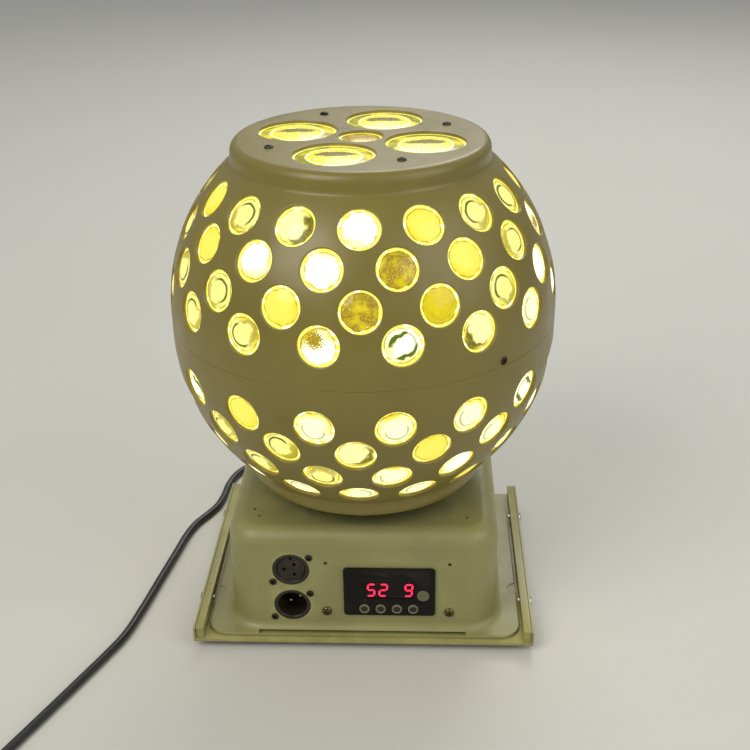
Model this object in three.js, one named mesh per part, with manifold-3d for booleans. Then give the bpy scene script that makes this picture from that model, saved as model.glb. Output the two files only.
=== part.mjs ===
import * as THREE from "three";
import { mergeVertices } from "three/addons/utils/BufferGeometryUtils.js";
import Module from "manifold-3d";

const wasm = await Module();
wasm.setup();

// A rotating effect light: a ball of two lensed half shells turns on a hollow post above a moulded
// base, round a lamp that stands still. Lengths are in millimetres and angles in degrees. The origin
// is on the floor under the middle of the ball, +Z is up and the control panel faces -Y.
const clearance = 0.3;
const cutOver = 2;
const weldStep = 0.001;
const fineSides = 16;
const roundSides = 12;
const headSides = 8;
const smallSides = 6;

const foot = { radius: 9, showing: 5.7 };
const tray = { besideFlange: 1.8, beforeFlange: 3.5, behindFlange: 12.5, lip: 2, sheet: 1.2, sideRise: 8.1 };
const rail = { width: 5.2, wall: 1, frontInset: 1 };
const railScrew = {
  headRadius: 3.5,
  head: 1.8,
  shankRadius: 1.6,
  tipOut: 1.5,
  fromFront: 40,
  fromRear: 39,
};

const housing = {
  depth: 154,
  wall: 2.5,
  cornerRadius: 22,
  edgeRadius: 11,
  edgeSteps: 3,
  innerEdge: 8.5,
  flangeSide: 15.5,
  flangeFront: 6.5,
  flangeCorner: 14,
  flangeThickness: 2.4,
  flare: 6,
  flareSteps: 2,
  cornerSteps: 3,
};
const footSlot = { fromLeft: 18.5, fromRight: 20, rise: 1.9, height: 1.1 };
const topHole = {
  radius: 1.3,
  cornerFromSide: 20.8,
  cornerFromFront: 19.5,
  leftFromSide: 16.8,
  leftFromFront: 27.5,
  rightFromSide: 33.4,
  rightFromFront: 46.7,
};

// The front wall's flat part holds, from left to right, the sockets, a screw, the panel and a screw.
const socket = {
  fromCorner: 4.3,
  fromBase: 20.9,
  pitch: 28.1,
  fromTop: 29,
  barrelRadius: 11.8,
  boreRadius: 9.4,
  flangeWidth: 31,
  flangeHeight: 25,
  flangeThickness: 2,
  depth: 27,
  insertLength: 7,
  faceInset: 0.5,
};
const contact = { count: 3, radius: 1.2, circle: 4.4, recess: 9.5, holeDepth: 5 };
const rivet = { x: 12, z: 9.5, headRadius: 2.5, head: 1.1, shankRadius: 1.4, shank: 6 };

const panel = { z: 41, height: 37.4, thickness: 1.2 };
const panelOpeningInset = { left: 6.5, right: 1.1, bottom: 1, top: 8.7 };
const display = { fromLeft: 14, rise: 1.5, width: 32, height: 13 };
const button = {
  rowShift: -0.45,
  pitch: 10.7,
  fromBottom: 5.5,
  count: 4,
  radius: 3.4,
  collarRadius: 4.1,
  collar: 1,
  stemRadius: 2,
  proud: 0.9,
  travel: 0.8,
};
const microphone = { fromDisplay: 6.1, fromRight: 7.9, drop: 2.6, radius: 4, proud: 0.4, rearRadius: 3 };
const panelScrew = {
  fromSocket: 7.3,
  fromPanelLeft: 11.4,
  fromPanelRight: 9.3,
  fromCorner: 9.7,
  fromBottom: 2.2,
  headRadius: 3.3,
  head: 1.9,
  shankRadius: 1.6,
  shank: 16,
};
const pilotHole = { radius: 1.3, abovePanel: 2.6 };
const board = { besideScrew: 3.1, belowPanel: 8.3, abovePanel: 5.3, thickness: 1.6, behindWall: 8 };
const supply = { fromWall: 8, behindBoard: 22.9, width: 48, depth: 84, height: 34 };

const post = {
  radius: 12,
  boreRadius: 8,
  plateInset: 8,
  plateThickness: 3,
  shoulderRadius: 17,
  shoulderRise: 4,
  intoLamp: 14,
};
const bush = { wall: 3.4, flangeRadius: 20, flangeThickness: 3.5 };
const turntable = { inset: 11, thickness: 3, pegRadius: 1.7, peg: 4 };
const gear = { module: 2.5, teeth: 32, thickness: 4.2, addendum: 1.9, dedendum: 2.6, boreMargin: 1.2 };
const toothShares = { tip: 0.12, root: 0.34 };
const pinion = { teeth: 8, azimuth: 135, shaftRadius: 2.5, shaftIntoMotor: 8, shaftAbove: 0.6 };
const motor = { width: 35, height: 34 };

const ball = {
  radius: 123,
  wall: 2,
  band: 6.9,
  seam: 0.3,
  plateauLand: 5.03,
  plateauRise: 12.8,
  plateauEdge: 6.5,
  lensesPerRing: 16,
  lensLand: 6.207,
  gapUnder: 12.7,
  upperTurn: 2.1,
  lowerTurn: 0,
};
// Latitude of each ring of lenses on its half shell, and whether the ring is turned by half a pitch.
const ringAngles = [9, 18.3, 28.9, 39.9];
const ringIsTurned = [true, false, true, false];
const lens = { lap: 2.25, thickness: 2.2, sink: 1.3, crownInset: 0.5 };
const holeSides = 8;
const lensSides = 6;
const bigLens = { fromEdge: 14.8, land: 3.9, count: 4, turn: -20.8, sides: 10 };
const midLens = { radius: 13.7, sides: 8 };
const lensPlate = { inset: 12, thickness: 2.2, crown: 1.4, crownShare: 0.62 };
const topScrew = { fromEdge: 22.1, holeRadius: 2.1, headRadius: 2.8, head: 1.4, shankRadius: 1.5, shank: 9 };
const seamRing = { thickness: 2, height: 13 };
const seamScrew = { azimuth: 44, z: 3.4, count: 2, headRadius: 2.6, head: 1.2, shankRadius: 1.4, shank: 8 };

const lamp = {
  radius: 26,
  height: 50,
  boreRadius: 8,
  sides: 6,
  wrapThickness: 1.6,
  emitter: 12,
  emitterRise: 3,
};

const lead = { radius: 2.8, sides: 8, stepDiameters: 3 };
const gland = {
  fromSide: 36.5,
  z: 30,
  radius: 7.5,
  flange: 3,
  bodyRadius: 5.6,
  tail: 24,
  tailRadius: 5.2,
  mouthRadius: 3.7,
};
const fuse = { fromGland: 34, radius: 8, cap: 5, bodyRadius: 6, body: 22 };
// The lead's route, from the gland's mouth to the coil: behind the base, round its left side and out
// past the front left.
const leadRoute = [
  [-52, 0, 30], [-52, 7.5, 30], [-53, 19, 27], [-56.5, 31, 17.5], [-64, 41, 8], [-76, 47, 3.6],
  [-90, 46.5, 2.8], [-104, 40, 2.8], [-114, 28, 2.8],
];
const leadFloor = [
  [-119.2, 114], [-120.6, 97], [-123.6, 82], [-129.6, 69], [-136.2, 56.5], [-140.6, 41], [-144, 20],
  [-147.3, 0], [-150.2, -18], [-155, -48], [-161, -78.2], [-167.2, -94.9], [-181.7, -128.4],
  [-198.9, -167.3], [-209, -190],
];
const leadEnd = { heading: 247, runOn: 36 };
const coil = {
  radius: 39.5,
  turns: 5.32,
  spacing: 0.6,
  stepsPerTurn: 18,
  sides: 6,
  climbTurns: 0.5,
  tail: 26,
};
const plug = { length: 38, taper: 17, width: 27, nose: 6, pinRadius: 2, pinLength: 19, pinPitch: 19 };

const rad = THREE.MathUtils.degToRad;
const fullTurn = 360;
const quarterTurn = fullTurn / 4;
const halfStep = 1 / 2;
const onCircle = (circle, angle) => [circle * Math.cos(rad(angle)), circle * Math.sin(rad(angle))];

const trayTop = foot.showing + tray.lip;
const housingBase = trayTop + clearance;
const lowerSocketZ = housingBase + socket.fromBase;
const upperSocketZ = lowerSocketZ + socket.pitch;
const housingTop = upperSocketZ + socket.fromTop;
const panelWidth = display.fromLeft + display.width + microphone.fromDisplay + microphone.fromRight;
const halfFlat =
  (socket.fromCorner +
    socket.flangeWidth +
    panelScrew.fromSocket +
    panelScrew.fromPanelLeft +
    panelWidth +
    panelScrew.fromPanelRight +
    panelScrew.fromCorner) /
  2;
const halfHousing = halfFlat + housing.cornerRadius;
const socketX = socket.fromCorner - halfFlat + socket.flangeWidth / 2;
const screwX = {
  left: socketX + socket.flangeWidth / 2 + panelScrew.fromSocket,
  right: halfFlat - panelScrew.fromCorner,
};
const panelLeft = screwX.left + panelScrew.fromPanelLeft;
const panelRight = panelLeft + panelWidth;
const displayX = panelLeft + display.fromLeft + display.width / 2;
const panelBottom = panel.z - panel.height / 2;
const panelTop = panel.z + panel.height / 2;
const screwZ = panelBottom + panelScrew.fromBottom;
const frontY = -housing.depth / 2;
const rearY = housing.depth / 2;
const frontInnerY = frontY + housing.wall;
const boardY = frontInnerY + board.behindWall;
const glandX = gland.fromSide - halfHousing;
const fuseX = glandX + fuse.fromGland;
const halfTray =
  halfHousing + housing.flangeSide + tray.besideFlange + rail.width + clearance + tray.sheet;
const trayFront = frontY - housing.flangeFront - tray.beforeFlange;
const trayRear = rearY + housing.flangeFront + tray.behindFlange;
const lensPitch = fullTurn / ball.lensesPerRing;
const halfPitch = lensPitch / 2;
const rowCount = 2 * ball.lensesPerRing;
const neighbours = [
  ballPoint(0, ringAngles[0], ball.radius),
  ballPoint(halfPitch, ringAngles[1], ball.radius),
];
const lensHoleRadius = (neighbours[0].distanceTo(neighbours[1]) - ball.lensLand) / 2;
const lensRadius = lensHoleRadius + lens.lap;
const lastLensEdge = rad(ringAngles[ringAngles.length - 1]) + Math.asin(lensHoleRadius / ball.radius);
const plateauRadius = ball.radius * Math.cos(lastLensEdge) - ball.plateauLand;
const bigLensRadius = (plateauRadius - bigLens.fromEdge - bigLens.land - midLens.radius) / 2;
const bigLensCircle = midLens.radius + bigLens.land + bigLensRadius;
const plateauFoot = ball.band + Math.sqrt(ball.radius ** 2 - plateauRadius ** 2);
const plateauTop = plateauFoot + ball.plateauRise;
const ballZ = housingTop + ball.gapUnder + plateauTop;
const postPlateTop = housingTop - housing.wall - clearance;
const shoulderTop = housingTop + post.shoulderRise;
const bushBase = shoulderTop + clearance;
const turntableBase = bushBase + bush.flangeThickness + clearance;
const gearTop = turntableBase - clearance;
const gearRadius = (gear.module * gear.teeth) / 2;
const pinionRadius = (gear.module * pinion.teeth) / 2;
const [pinionX, pinionY] = onCircle(gearRadius + pinionRadius, pinion.azimuth);
const lampBase = ballZ - lamp.height / 2;

const finish = (color, roughness, metalness) => () =>
  new THREE.MeshStandardMaterial({ color, roughness, metalness });
const creamPlastic = finish(0xe6e2c4, 0.45, 0);
const creamPaint = finish(0xdcd8ba, 0.5, 0.1);
const lensPlastic = finish(0xf4e04a, 0.12, 0);
const blackPlastic = finish(0x1a1a18, 0.5, 0);
const glossBlack = finish(0x0c0c0e, 0.2, 0);
const greyPlastic = finish(0xa9aa9e, 0.5, 0);
const steel = finish(0xb9bcc0, 0.3, 1);
const darkSteel = finish(0x33332f, 0.5, 0.8);
const aluminium = finish(0xc6c9cc, 0.35, 1);
const bronze = finish(0xa67c3f, 0.4, 1);
const rubber = finish(0x20201f, 0.9, 0);
const circuitGreen = finish(0x1f5a33, 0.5, 0);
const whiteNylon = finish(0xeeeeea, 0.5, 0);

// Geometry from triangles given as points, with shared points merged and collapsed ones left out.
function fromFaces(faces) {
  const apart = (a, b) => a.distanceTo(b) > weldStep;
  const whole = faces.filter(([a, b, c]) => apart(a, b) && apart(b, c) && apart(c, a));
  const positions = whole.flat().flatMap((point) => [point.x, point.y, point.z]);
  const geometry = new THREE.BufferGeometry();
  geometry.setAttribute("position", new THREE.Float32BufferAttribute(positions, 3));
  return mergeVertices(geometry, weldStep);
}

function solidOf(geometry) {
  const plain = geometry.clone();
  for (const name of Object.keys(plain.attributes)) {
    if (name !== "position") plain.deleteAttribute(name);
  }
  const merged = mergeVertices(plain, weldStep);
  return new wasm.Manifold(
    new wasm.Mesh({
      numProp: 3,
      vertProperties: merged.getAttribute("position").array,
      triVerts: new Uint32Array(merged.getIndex().array),
    }),
  );
}

function geometryOf(solid) {
  const mesh = solid.getMesh();
  const geometry = new THREE.BufferGeometry();
  geometry.setAttribute("position", new THREE.BufferAttribute(mesh.vertProperties, 3));
  geometry.setIndex(new THREE.BufferAttribute(mesh.triVerts, 1));
  geometry.computeVertexNormals();
  return geometry;
}

const join = (first, ...others) =>
  geometryOf(others.reduce((whole, next) => whole.add(solidOf(next)), solidOf(first)));
const cut = (body, ...tools) =>
  geometryOf(tools.reduce((whole, tool) => whole.subtract(solidOf(tool)), solidOf(body)));

// The corner radius of a hole with flat sides that clears a round bar.
const holeFor = (radius, sides) => (radius + clearance) / Math.cos(Math.PI / sides);

// A box from its lowest corner to its highest.
function boxBetween(low, high) {
  const size = high.map((value, axis) => value - low[axis]);
  const middle = high.map((value, axis) => (value + low[axis]) / 2);
  return new THREE.BoxGeometry(...size).translate(...middle);
}

// A round bar along +Z from one height to another.
function barZ(radius, from, to, sides = roundSides, x = 0, y = 0) {
  return new THREE.CylinderGeometry(radius, radius, to - from, sides)
    .rotateX(rad(quarterTurn))
    .translate(x, y, (from + to) / 2);
}

// A round bar along Y at a place on the front or rear wall.
function barY(radius, from, to, x, z, sides = roundSides) {
  return new THREE.CylinderGeometry(radius, radius, to - from, sides).translate(x, (from + to) / 2, z);
}

function barX(radius, from, to, y, z, sides = roundSides) {
  return new THREE.CylinderGeometry(radius, radius, to - from, sides)
    .rotateZ(rad(quarterTurn))
    .translate((from + to) / 2, y, z);
}

// A closed profile of [radius, height] pairs turned round +Z, counted anticlockwise.
function turned(profile, sides = roundSides) {
  const points = [...profile, profile[0]].map(([r, z]) => new THREE.Vector2(r, z));
  return new THREE.LatheGeometry(points, sides).rotateX(rad(quarterTurn));
}

// Skins through rows of points, closed by a cap at each end.
function loft(rows) {
  const faces = [];
  for (let row = 0; row + 1 < rows.length; row++) {
    const lower = rows[row];
    const upper = rows[row + 1];
    lower.forEach((point, i) => {
      const next = (i + 1) % lower.length;
      faces.push([point, lower[next], upper[next]], [point, upper[next], upper[i]]);
    });
  }
  const flat = (row) => row.map((point) => new THREE.Vector2(point.x, point.y));
  const first = rows[0];
  const last = rows[rows.length - 1];
  for (const [a, b, c] of THREE.ShapeUtils.triangulateShape(flat(last), [])) {
    faces.push([last[a], last[b], last[c]]);
  }
  for (const [a, b, c] of THREE.ShapeUtils.triangulateShape(flat(first), [])) {
    faces.push([first[a], first[c], first[b]]);
  }
  return fromFaces(faces);
}

// Closes an outer skin with its matching inner skin: the same triangles in the same order, further
// in, with a wall at every edge that only one triangle has.
function closeSkins(outer, inner) {
  const key = (point) => point.toArray().map((value) => Math.round(value / weldStep)).join();
  const edges = new Map();
  outer.forEach((face, f) => {
    face.forEach((point, i) => {
      const next = (i + 1) % face.length;
      const back = key(face[next]) + "|" + key(point);
      if (edges.has(back)) edges.delete(back);
      else edges.set(key(point) + "|" + key(face[next]), [point, face[next], inner[f][i], inner[f][next]]);
    });
  });
  const faces = [...outer, ...inner.map(([a, b, c]) => [a, c, b])];
  for (const [from, to, fromIn, toIn] of edges.values()) {
    faces.push([from, fromIn, toIn], [from, toIn, to]);
  }
  return fromFaces(faces);
}

const root = new THREE.Group();
root.name = "magic_ball_light";

function add(name, material, geometry, parent = root) {
  const mesh = new THREE.Mesh(geometry, material());
  mesh.name = name;
  parent.add(mesh);
  return mesh;
}

// The ball's half shells and lenses, drawn with the seam at z = 0 and the plateau on top.
function ballPoint(azimuth, latitude, radius) {
  const a = rad(azimuth);
  const l = rad(latitude);
  return new THREE.Vector3(
    radius * Math.cos(l) * Math.sin(a),
    -radius * Math.cos(l) * Math.cos(a),
    ball.band + radius * Math.sin(l),
  );
}

// The corners of a lens or its hole: a small circle on the sphere, anticlockwise from the east, the
// first turned by a share of the step between them.
function lensRim(azimuth, latitude, sphereRadius, rimRadius, sides, firstShare) {
  const a = rad(azimuth);
  const l = rad(latitude);
  const out = new THREE.Vector3(Math.cos(l) * Math.sin(a), -Math.cos(l) * Math.cos(a), Math.sin(l));
  const east = new THREE.Vector3(Math.cos(a), Math.sin(a), 0);
  const north = new THREE.Vector3().crossVectors(out, east);
  const depth = Math.sqrt(sphereRadius ** 2 - rimRadius ** 2);
  return Array.from({ length: sides }, (_, k) => {
    const turn = rad(((k + firstShare) * fullTurn) / sides);
    return new THREE.Vector3()
      .addScaledVector(out, depth)
      .addScaledVector(east, rimRadius * Math.cos(turn))
      .addScaledVector(north, rimRadius * Math.sin(turn))
      .add(new THREE.Vector3(0, 0, ball.band));
  });
}

const ringAzimuth = (ring, index) => index * lensPitch + (ringIsTurned[ring] ? halfPitch : 0);

function rowPoints(radius, z) {
  return Array.from({ length: rowCount }, (_, i) => {
    const a = rad(i * halfPitch);
    return new THREE.Vector3(radius * Math.sin(a), -radius * Math.cos(a), z);
  });
}

function rowFaces(lower, upper) {
  return lower.flatMap((point, i) => {
    const next = (i + 1) % lower.length;
    return [[point, lower[next], upper[next]], [point, upper[next], upper[i]]];
  });
}

// A circle of points in a flat face, clockwise as a hole is.
function holeRing(x, y, radius, sides) {
  return Array.from({ length: sides }, (_, k) => {
    const a = -rad((k * fullTurn) / sides);
    return new THREE.Vector2(x + radius * Math.cos(a), y + radius * Math.sin(a));
  });
}

const bigLensPlaces = Array.from({ length: bigLens.count }, (_, i) =>
  onCircle(bigLensCircle, bigLens.turn + i * quarterTurn),
);
const topScrewPlaces = Array.from({ length: bigLens.count }, (_, i) =>
  onCircle(plateauRadius - topScrew.fromEdge, bigLens.turn + (i + halfStep) * quarterTurn),
);

// One skin of a half shell, set in by a distance from the outer surface.
function halfShellSkin(inset) {
  const radius = ball.radius - inset;
  const latitudes = [0, ...ringAngles];
  const edgeRadius = plateauRadius - inset;
  const footZ = ball.band + Math.sqrt(radius ** 2 - edgeRadius ** 2);
  latitudes.push(THREE.MathUtils.radToDeg(Math.acos(edgeRadius / radius)));
  const faces = rowFaces(rowPoints(radius, ball.seam / 2), rowPoints(radius, ball.band));

  ringAngles.forEach((latitude, ring) => {
    for (let index = 0; index < ball.lensesPerRing; index++) {
      const azimuth = ringAzimuth(ring, index);
      const rim = lensRim(azimuth, latitude, radius, lensHoleRadius, holeSides, halfStep);
      const corners = [
        ballPoint(azimuth + halfPitch, latitude, radius),
        ballPoint(azimuth, latitudes[ring + 2], radius),
        ballPoint(azimuth - halfPitch, latitude, radius),
        ballPoint(azimuth, latitudes[ring], radius),
      ];
      corners.forEach((corner, i) => {
        const before = rim[(2 * i + holeSides - 1) % holeSides];
        const after = rim[2 * i];
        const beyond = rim[2 * i + 1];
        const nextCorner = corners[(i + 1) % corners.length];
        faces.push([corner, after, before], [corner, nextCorner, after], [nextCorner, beyond, after]);
      });
    }
  });

  const lastRing = ringAngles.length - 1;
  const footLatitude = latitudes[latitudes.length - 1];
  for (let index = 0; index < ball.lensesPerRing; index++) {
    const low = ringAzimuth(0, index);
    const lowApex = ballPoint(low + halfPitch, ringAngles[0], radius);
    const lowMiddle = ballPoint(low + halfPitch, 0, radius);
    faces.push([ballPoint(low, 0, radius), lowMiddle, lowApex]);
    faces.push([lowMiddle, ballPoint(low + lensPitch, 0, radius), lowApex]);
    const high = ringAzimuth(lastRing, index);
    const highApex = ballPoint(high + halfPitch, ringAngles[lastRing], radius);
    const highMiddle = ballPoint(high + halfPitch, footLatitude, radius);
    faces.push([ballPoint(high, footLatitude, radius), highApex, highMiddle]);
    faces.push([highMiddle, highApex, ballPoint(high + lensPitch, footLatitude, radius)]);
  }

  const edge = ball.plateauEdge - inset;
  const topZ = plateauTop - inset;
  const edgeRows = [0, quarterTurn].map((angle) =>
    rowPoints(edgeRadius - edge * (1 - Math.cos(rad(angle))), topZ - edge * (1 - Math.sin(rad(angle)))),
  );
  const rows = [rowPoints(edgeRadius, footZ), ...edgeRows];
  for (let row = 0; row + 1 < rows.length; row++) faces.push(...rowFaces(rows[row], rows[row + 1]));

  const rim = rows[rows.length - 1].map((point) => new THREE.Vector2(point.x, point.y));
  const holes = [
    ...bigLensPlaces.map(([x, y]) => holeRing(x, y, bigLensRadius, bigLens.sides)),
    ...topScrewPlaces.map(([x, y]) => holeRing(x, y, topScrew.holeRadius, smallSides)),
    holeRing(0, 0, midLens.radius, midLens.sides),
  ];
  const flat = [rim, ...holes].flat().map((point) => new THREE.Vector3(point.x, point.y, topZ));
  for (const [a, b, c] of THREE.ShapeUtils.triangulateShape(rim, holes)) {
    faces.push([flat[a], flat[b], flat[c]]);
  }
  return faces;
}

// One skin of the lenses of two neighbouring rings, each linked to its nearest lenses in the other.
// A skin without a crown is flat across each lens.
function lensBandSkin(lowRing, radius, crown) {
  const highRing = lowRing + 1;
  const faces = [];
  const rims = [lowRing, highRing].map((ring) =>
    Array.from({ length: ball.lensesPerRing }, (_, index) => {
      const azimuth = ringAzimuth(ring, index);
      const rim = lensRim(azimuth, ringAngles[ring], radius, lensRadius, lensSides, 0);
      const middle = crown ? ballPoint(azimuth, ringAngles[ring], crown) : rim[0];
      rim.forEach((point, k) => faces.push([middle, point, rim[(k + 1) % rim.length]]));
      return rim;
    }),
  );
  const [low, high] = rims;
  low.forEach((rim, index) => {
    const shift = ringIsTurned[lowRing] ? 1 : 0;
    const right = high[(index + shift) % high.length];
    const left = high[(index + shift + high.length - 1) % high.length];
    faces.push([rim[0], right[4], right[3]], [rim[0], right[3], rim[1]]);
    faces.push([rim[3], rim[2], left[0]], [rim[3], left[0], left[5]]);
  });
  return faces;
}

function lensBand(lowRing) {
  const outer = ball.radius - ball.wall - lens.sink;
  const inner = outer - lens.thickness;
  return closeSkins(
    lensBandSkin(lowRing, outer, ball.radius - lens.crownInset),
    lensBandSkin(lowRing, inner, 0),
  );
}

// A radial bar at the seam, to pass through the shell and the ring behind it.
function seamBar(radius, from, to, azimuth, z) {
  return new THREE.CylinderGeometry(radius, radius, to - from, smallSides)
    .translate(0, -(from + to) / 2, 0)
    .rotateZ(rad(azimuth))
    .translate(0, 0, z);
}

const seamScrewAzimuths = Array.from(
  { length: seamScrew.count },
  (_, i) => seamScrew.azimuth + (i * fullTurn) / seamScrew.count,
);

function ballAssembly() {
  const group = new THREE.Group();
  group.position.z = ballZ;
  const upper = new THREE.Group();
  upper.rotation.z = rad(ball.upperTurn);
  const lower = new THREE.Group();
  lower.rotation.set(0, rad(fullTurn / 2), rad(ball.lowerTurn));
  group.add(upper, lower);

  const halfShell = closeSkins(halfShellSkin(0), halfShellSkin(ball.wall));
  const seamHoles = seamScrewAzimuths.map((azimuth) =>
    seamBar(
      holeFor(seamScrew.shankRadius, smallSides),
      ball.radius - ball.wall - cutOver,
      ball.radius + cutOver,
      azimuth - ball.upperTurn,
      seamScrew.z,
    ),
  );
  add("ball_shell_upper", creamPlastic, cut(halfShell, ...seamHoles), upper);
  add("ball_shell_lower", creamPlastic, halfShell, lower);
  for (const [side, parent] of [["upper", upper], ["lower", lower]]) {
    add("lens_band_" + side + "_outer", lensPlastic, lensBand(0), parent);
    add("lens_band_" + side + "_inner", lensPlastic, lensBand(2), parent);
  }

  const plateTop = plateauTop - ball.wall - clearance;
  const plateBase = plateTop - lensPlate.thickness;
  const crownTop = plateTop + clearance + lensPlate.crown;
  const crown = (x, y, radius, sides) =>
    new THREE.CylinderGeometry(radius * lensPlate.crownShare, radius, crownTop - plateBase, sides)
      .rotateX(rad(quarterTurn))
      .translate(x, y, (crownTop + plateBase) / 2);
  const plate = join(
    barZ(plateauRadius - lensPlate.inset, plateBase, plateTop, fineSides),
    ...bigLensPlaces.map(([x, y]) => crown(x, y, bigLensRadius - clearance, bigLens.sides)),
    crown(0, 0, midLens.radius - clearance, midLens.sides),
  );
  const screwHole = holeFor(topScrew.shankRadius, smallSides);
  const screwHoles = topScrewPlaces.map(([x, y]) =>
    barZ(screwHole, plateBase - cutOver, plateTop + cutOver, smallSides, x, y),
  );
  add("top_lens_plate", lensPlastic, cut(plate, ...screwHoles), upper);

  topScrewPlaces.forEach(([x, y], i) => {
    const seat = plateauTop + clearance;
    const screwProfile = [
      [0, seat - topScrew.shank],
      [topScrew.shankRadius, seat - topScrew.shank],
      [topScrew.shankRadius, seat],
      [topScrew.headRadius, seat],
      [topScrew.headRadius, seat + topScrew.head],
      [0, seat + topScrew.head],
    ];
    const screw = turned(screwProfile, smallSides).translate(x, y, 0);
    add("top_screw_" + (i + 1), darkSteel, screw, upper);
  });

  const ringOuter = (ball.radius - ball.wall) * Math.cos(Math.PI / rowCount) - clearance;
  const ringInner = ringOuter - seamRing.thickness;
  const half = seamRing.height / 2;
  const ringProfile = [
    [ringInner, -half],
    [ringOuter, -half],
    [ringOuter, half],
    [ringInner, half],
  ];
  const boltHole = holeFor(seamScrew.shankRadius, smallSides);
  const ringHoles = seamScrewAzimuths.map((azimuth) =>
    seamBar(boltHole, ringInner - cutOver, ringOuter + cutOver, azimuth, seamScrew.z),
  );
  add("seam_ring", blackPlastic, cut(turned(ringProfile, fineSides), ...ringHoles), group);
  seamScrewAzimuths.forEach((azimuth, i) => {
    const seat = ball.radius + clearance;
    const shankEnd = seat + seamScrew.head / 2;
    const screw = join(
      seamBar(seamScrew.headRadius, seat, seat + seamScrew.head, azimuth, seamScrew.z),
      seamBar(seamScrew.shankRadius, seat - seamScrew.shank, shankEnd, azimuth, seamScrew.z),
    );
    add("seam_screw_" + (i + 1), darkSteel, screw, group);
  });
  return group;
}

// A flat gear with tapered teeth, extruded from z = 0.
function gearGeometry(teeth, boreRadius, boreSides) {
  const pitchRadius = (gear.module * teeth) / 2;
  const tipRadius = pitchRadius + gear.addendum;
  const rootRadius = pitchRadius - gear.dedendum;
  const corners = [
    [-toothShares.root, rootRadius],
    [-toothShares.tip, tipRadius],
    [toothShares.tip, tipRadius],
    [toothShares.root, rootRadius],
  ];
  const outline = Array.from({ length: teeth }, (_, tooth) =>
    corners.map(([share, radius]) => {
      const [x, y] = onCircle(radius, ((tooth + share) * fullTurn) / teeth);
      return new THREE.Vector2(x, y);
    }),
  ).flat();
  const shape = new THREE.Shape(outline);
  if (boreRadius > 0) shape.holes.push(new THREE.Path(holeRing(0, 0, boreRadius, boreSides)));
  return new THREE.ExtrudeGeometry(shape, { depth: gear.thickness, bevelEnabled: false, steps: 1 });
}

function drive() {
  const boreRadius = holeFor(post.radius, fineSides);
  const bushOuter = boreRadius + bush.wall;
  const plateTop = turntableBase + turntable.thickness;
  const bushProfile = [
    [boreRadius, bushBase],
    [bush.flangeRadius, bushBase],
    [bush.flangeRadius, bushBase + bush.flangeThickness],
    [bushOuter, bushBase + bush.flangeThickness],
    [bushOuter, plateTop],
    [boreRadius, plateTop],
  ];
  add("turntable_bush", bronze, turned(bushProfile, fineSides));

  const plate = cut(
    barZ(plateauRadius - turntable.inset, turntableBase, plateTop, fineSides),
    barZ(holeFor(bushOuter, fineSides), turntableBase - cutOver, plateTop + cutOver, fineSides),
  );
  // The lower shell is the upper one turned over, so its screw holes are the mirror image.
  const pegs = topScrewPlaces.map(([x, y]) =>
    barZ(turntable.pegRadius, turntableBase, plateTop + turntable.peg, smallSides, -x, y),
  );
  add("turntable_plate", aluminium, join(plate, ...pegs).rotateZ(rad(ball.lowerTurn)));

  const ringGear = gearGeometry(gear.teeth, bush.flangeRadius + gear.boreMargin, roundSides);
  add("ring_gear", whiteNylon, ringGear).position.z = gearTop - gear.thickness;

  const motorTop = postPlateTop - post.plateThickness - clearance;
  const gearBase = gearTop - gear.thickness;
  const wheel = gearGeometry(pinion.teeth, 0, 0).rotateZ(rad((halfStep * fullTurn) / pinion.teeth));
  const shaft = barZ(
    pinion.shaftRadius,
    motorTop - pinion.shaftIntoMotor - gearBase,
    gear.thickness + pinion.shaftAbove - clearance,
    smallSides,
  );
  const turning = add("motor_pinion", steel, join(wheel, shaft).rotateZ(rad(pinion.azimuth)));
  turning.position.set(pinionX, pinionY, gearBase);

  const half = motor.width / 2;
  const body = boxBetween(
    [pinionX - half, pinionY - half, motorTop - motor.height],
    [pinionX + half, pinionY + half, motorTop],
  );
  const well = barZ(
    holeFor(pinion.shaftRadius, roundSides),
    motorTop - pinion.shaftIntoMotor - clearance,
    motorTop + cutOver,
    roundSides,
    pinionX,
    pinionY,
  );
  add("stepper_motor", darkSteel, cut(body, well));

  const plateBottom = postPlateTop - post.plateThickness;
  const plateRadius = rearY - housing.wall - housing.innerEdge - post.plateInset;
  const tube = turned(
    [
      [post.boreRadius, plateBottom],
      [plateRadius, plateBottom],
      [plateRadius, postPlateTop],
      [post.shoulderRadius, postPlateTop],
      [post.shoulderRadius, shoulderTop],
      [post.radius, shoulderTop],
      [post.radius, lampBase + post.intoLamp],
      [post.boreRadius, lampBase + post.intoLamp],
    ],
    fineSides,
  );
  const shaftHole = barZ(
    holeFor(pinion.shaftRadius, roundSides),
    plateBottom - cutOver,
    postPlateTop + cutOver,
    roundSides,
    pinionX,
    pinionY,
  );
  add("centre_post", steel, cut(tube, shaftHole));
}

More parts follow.
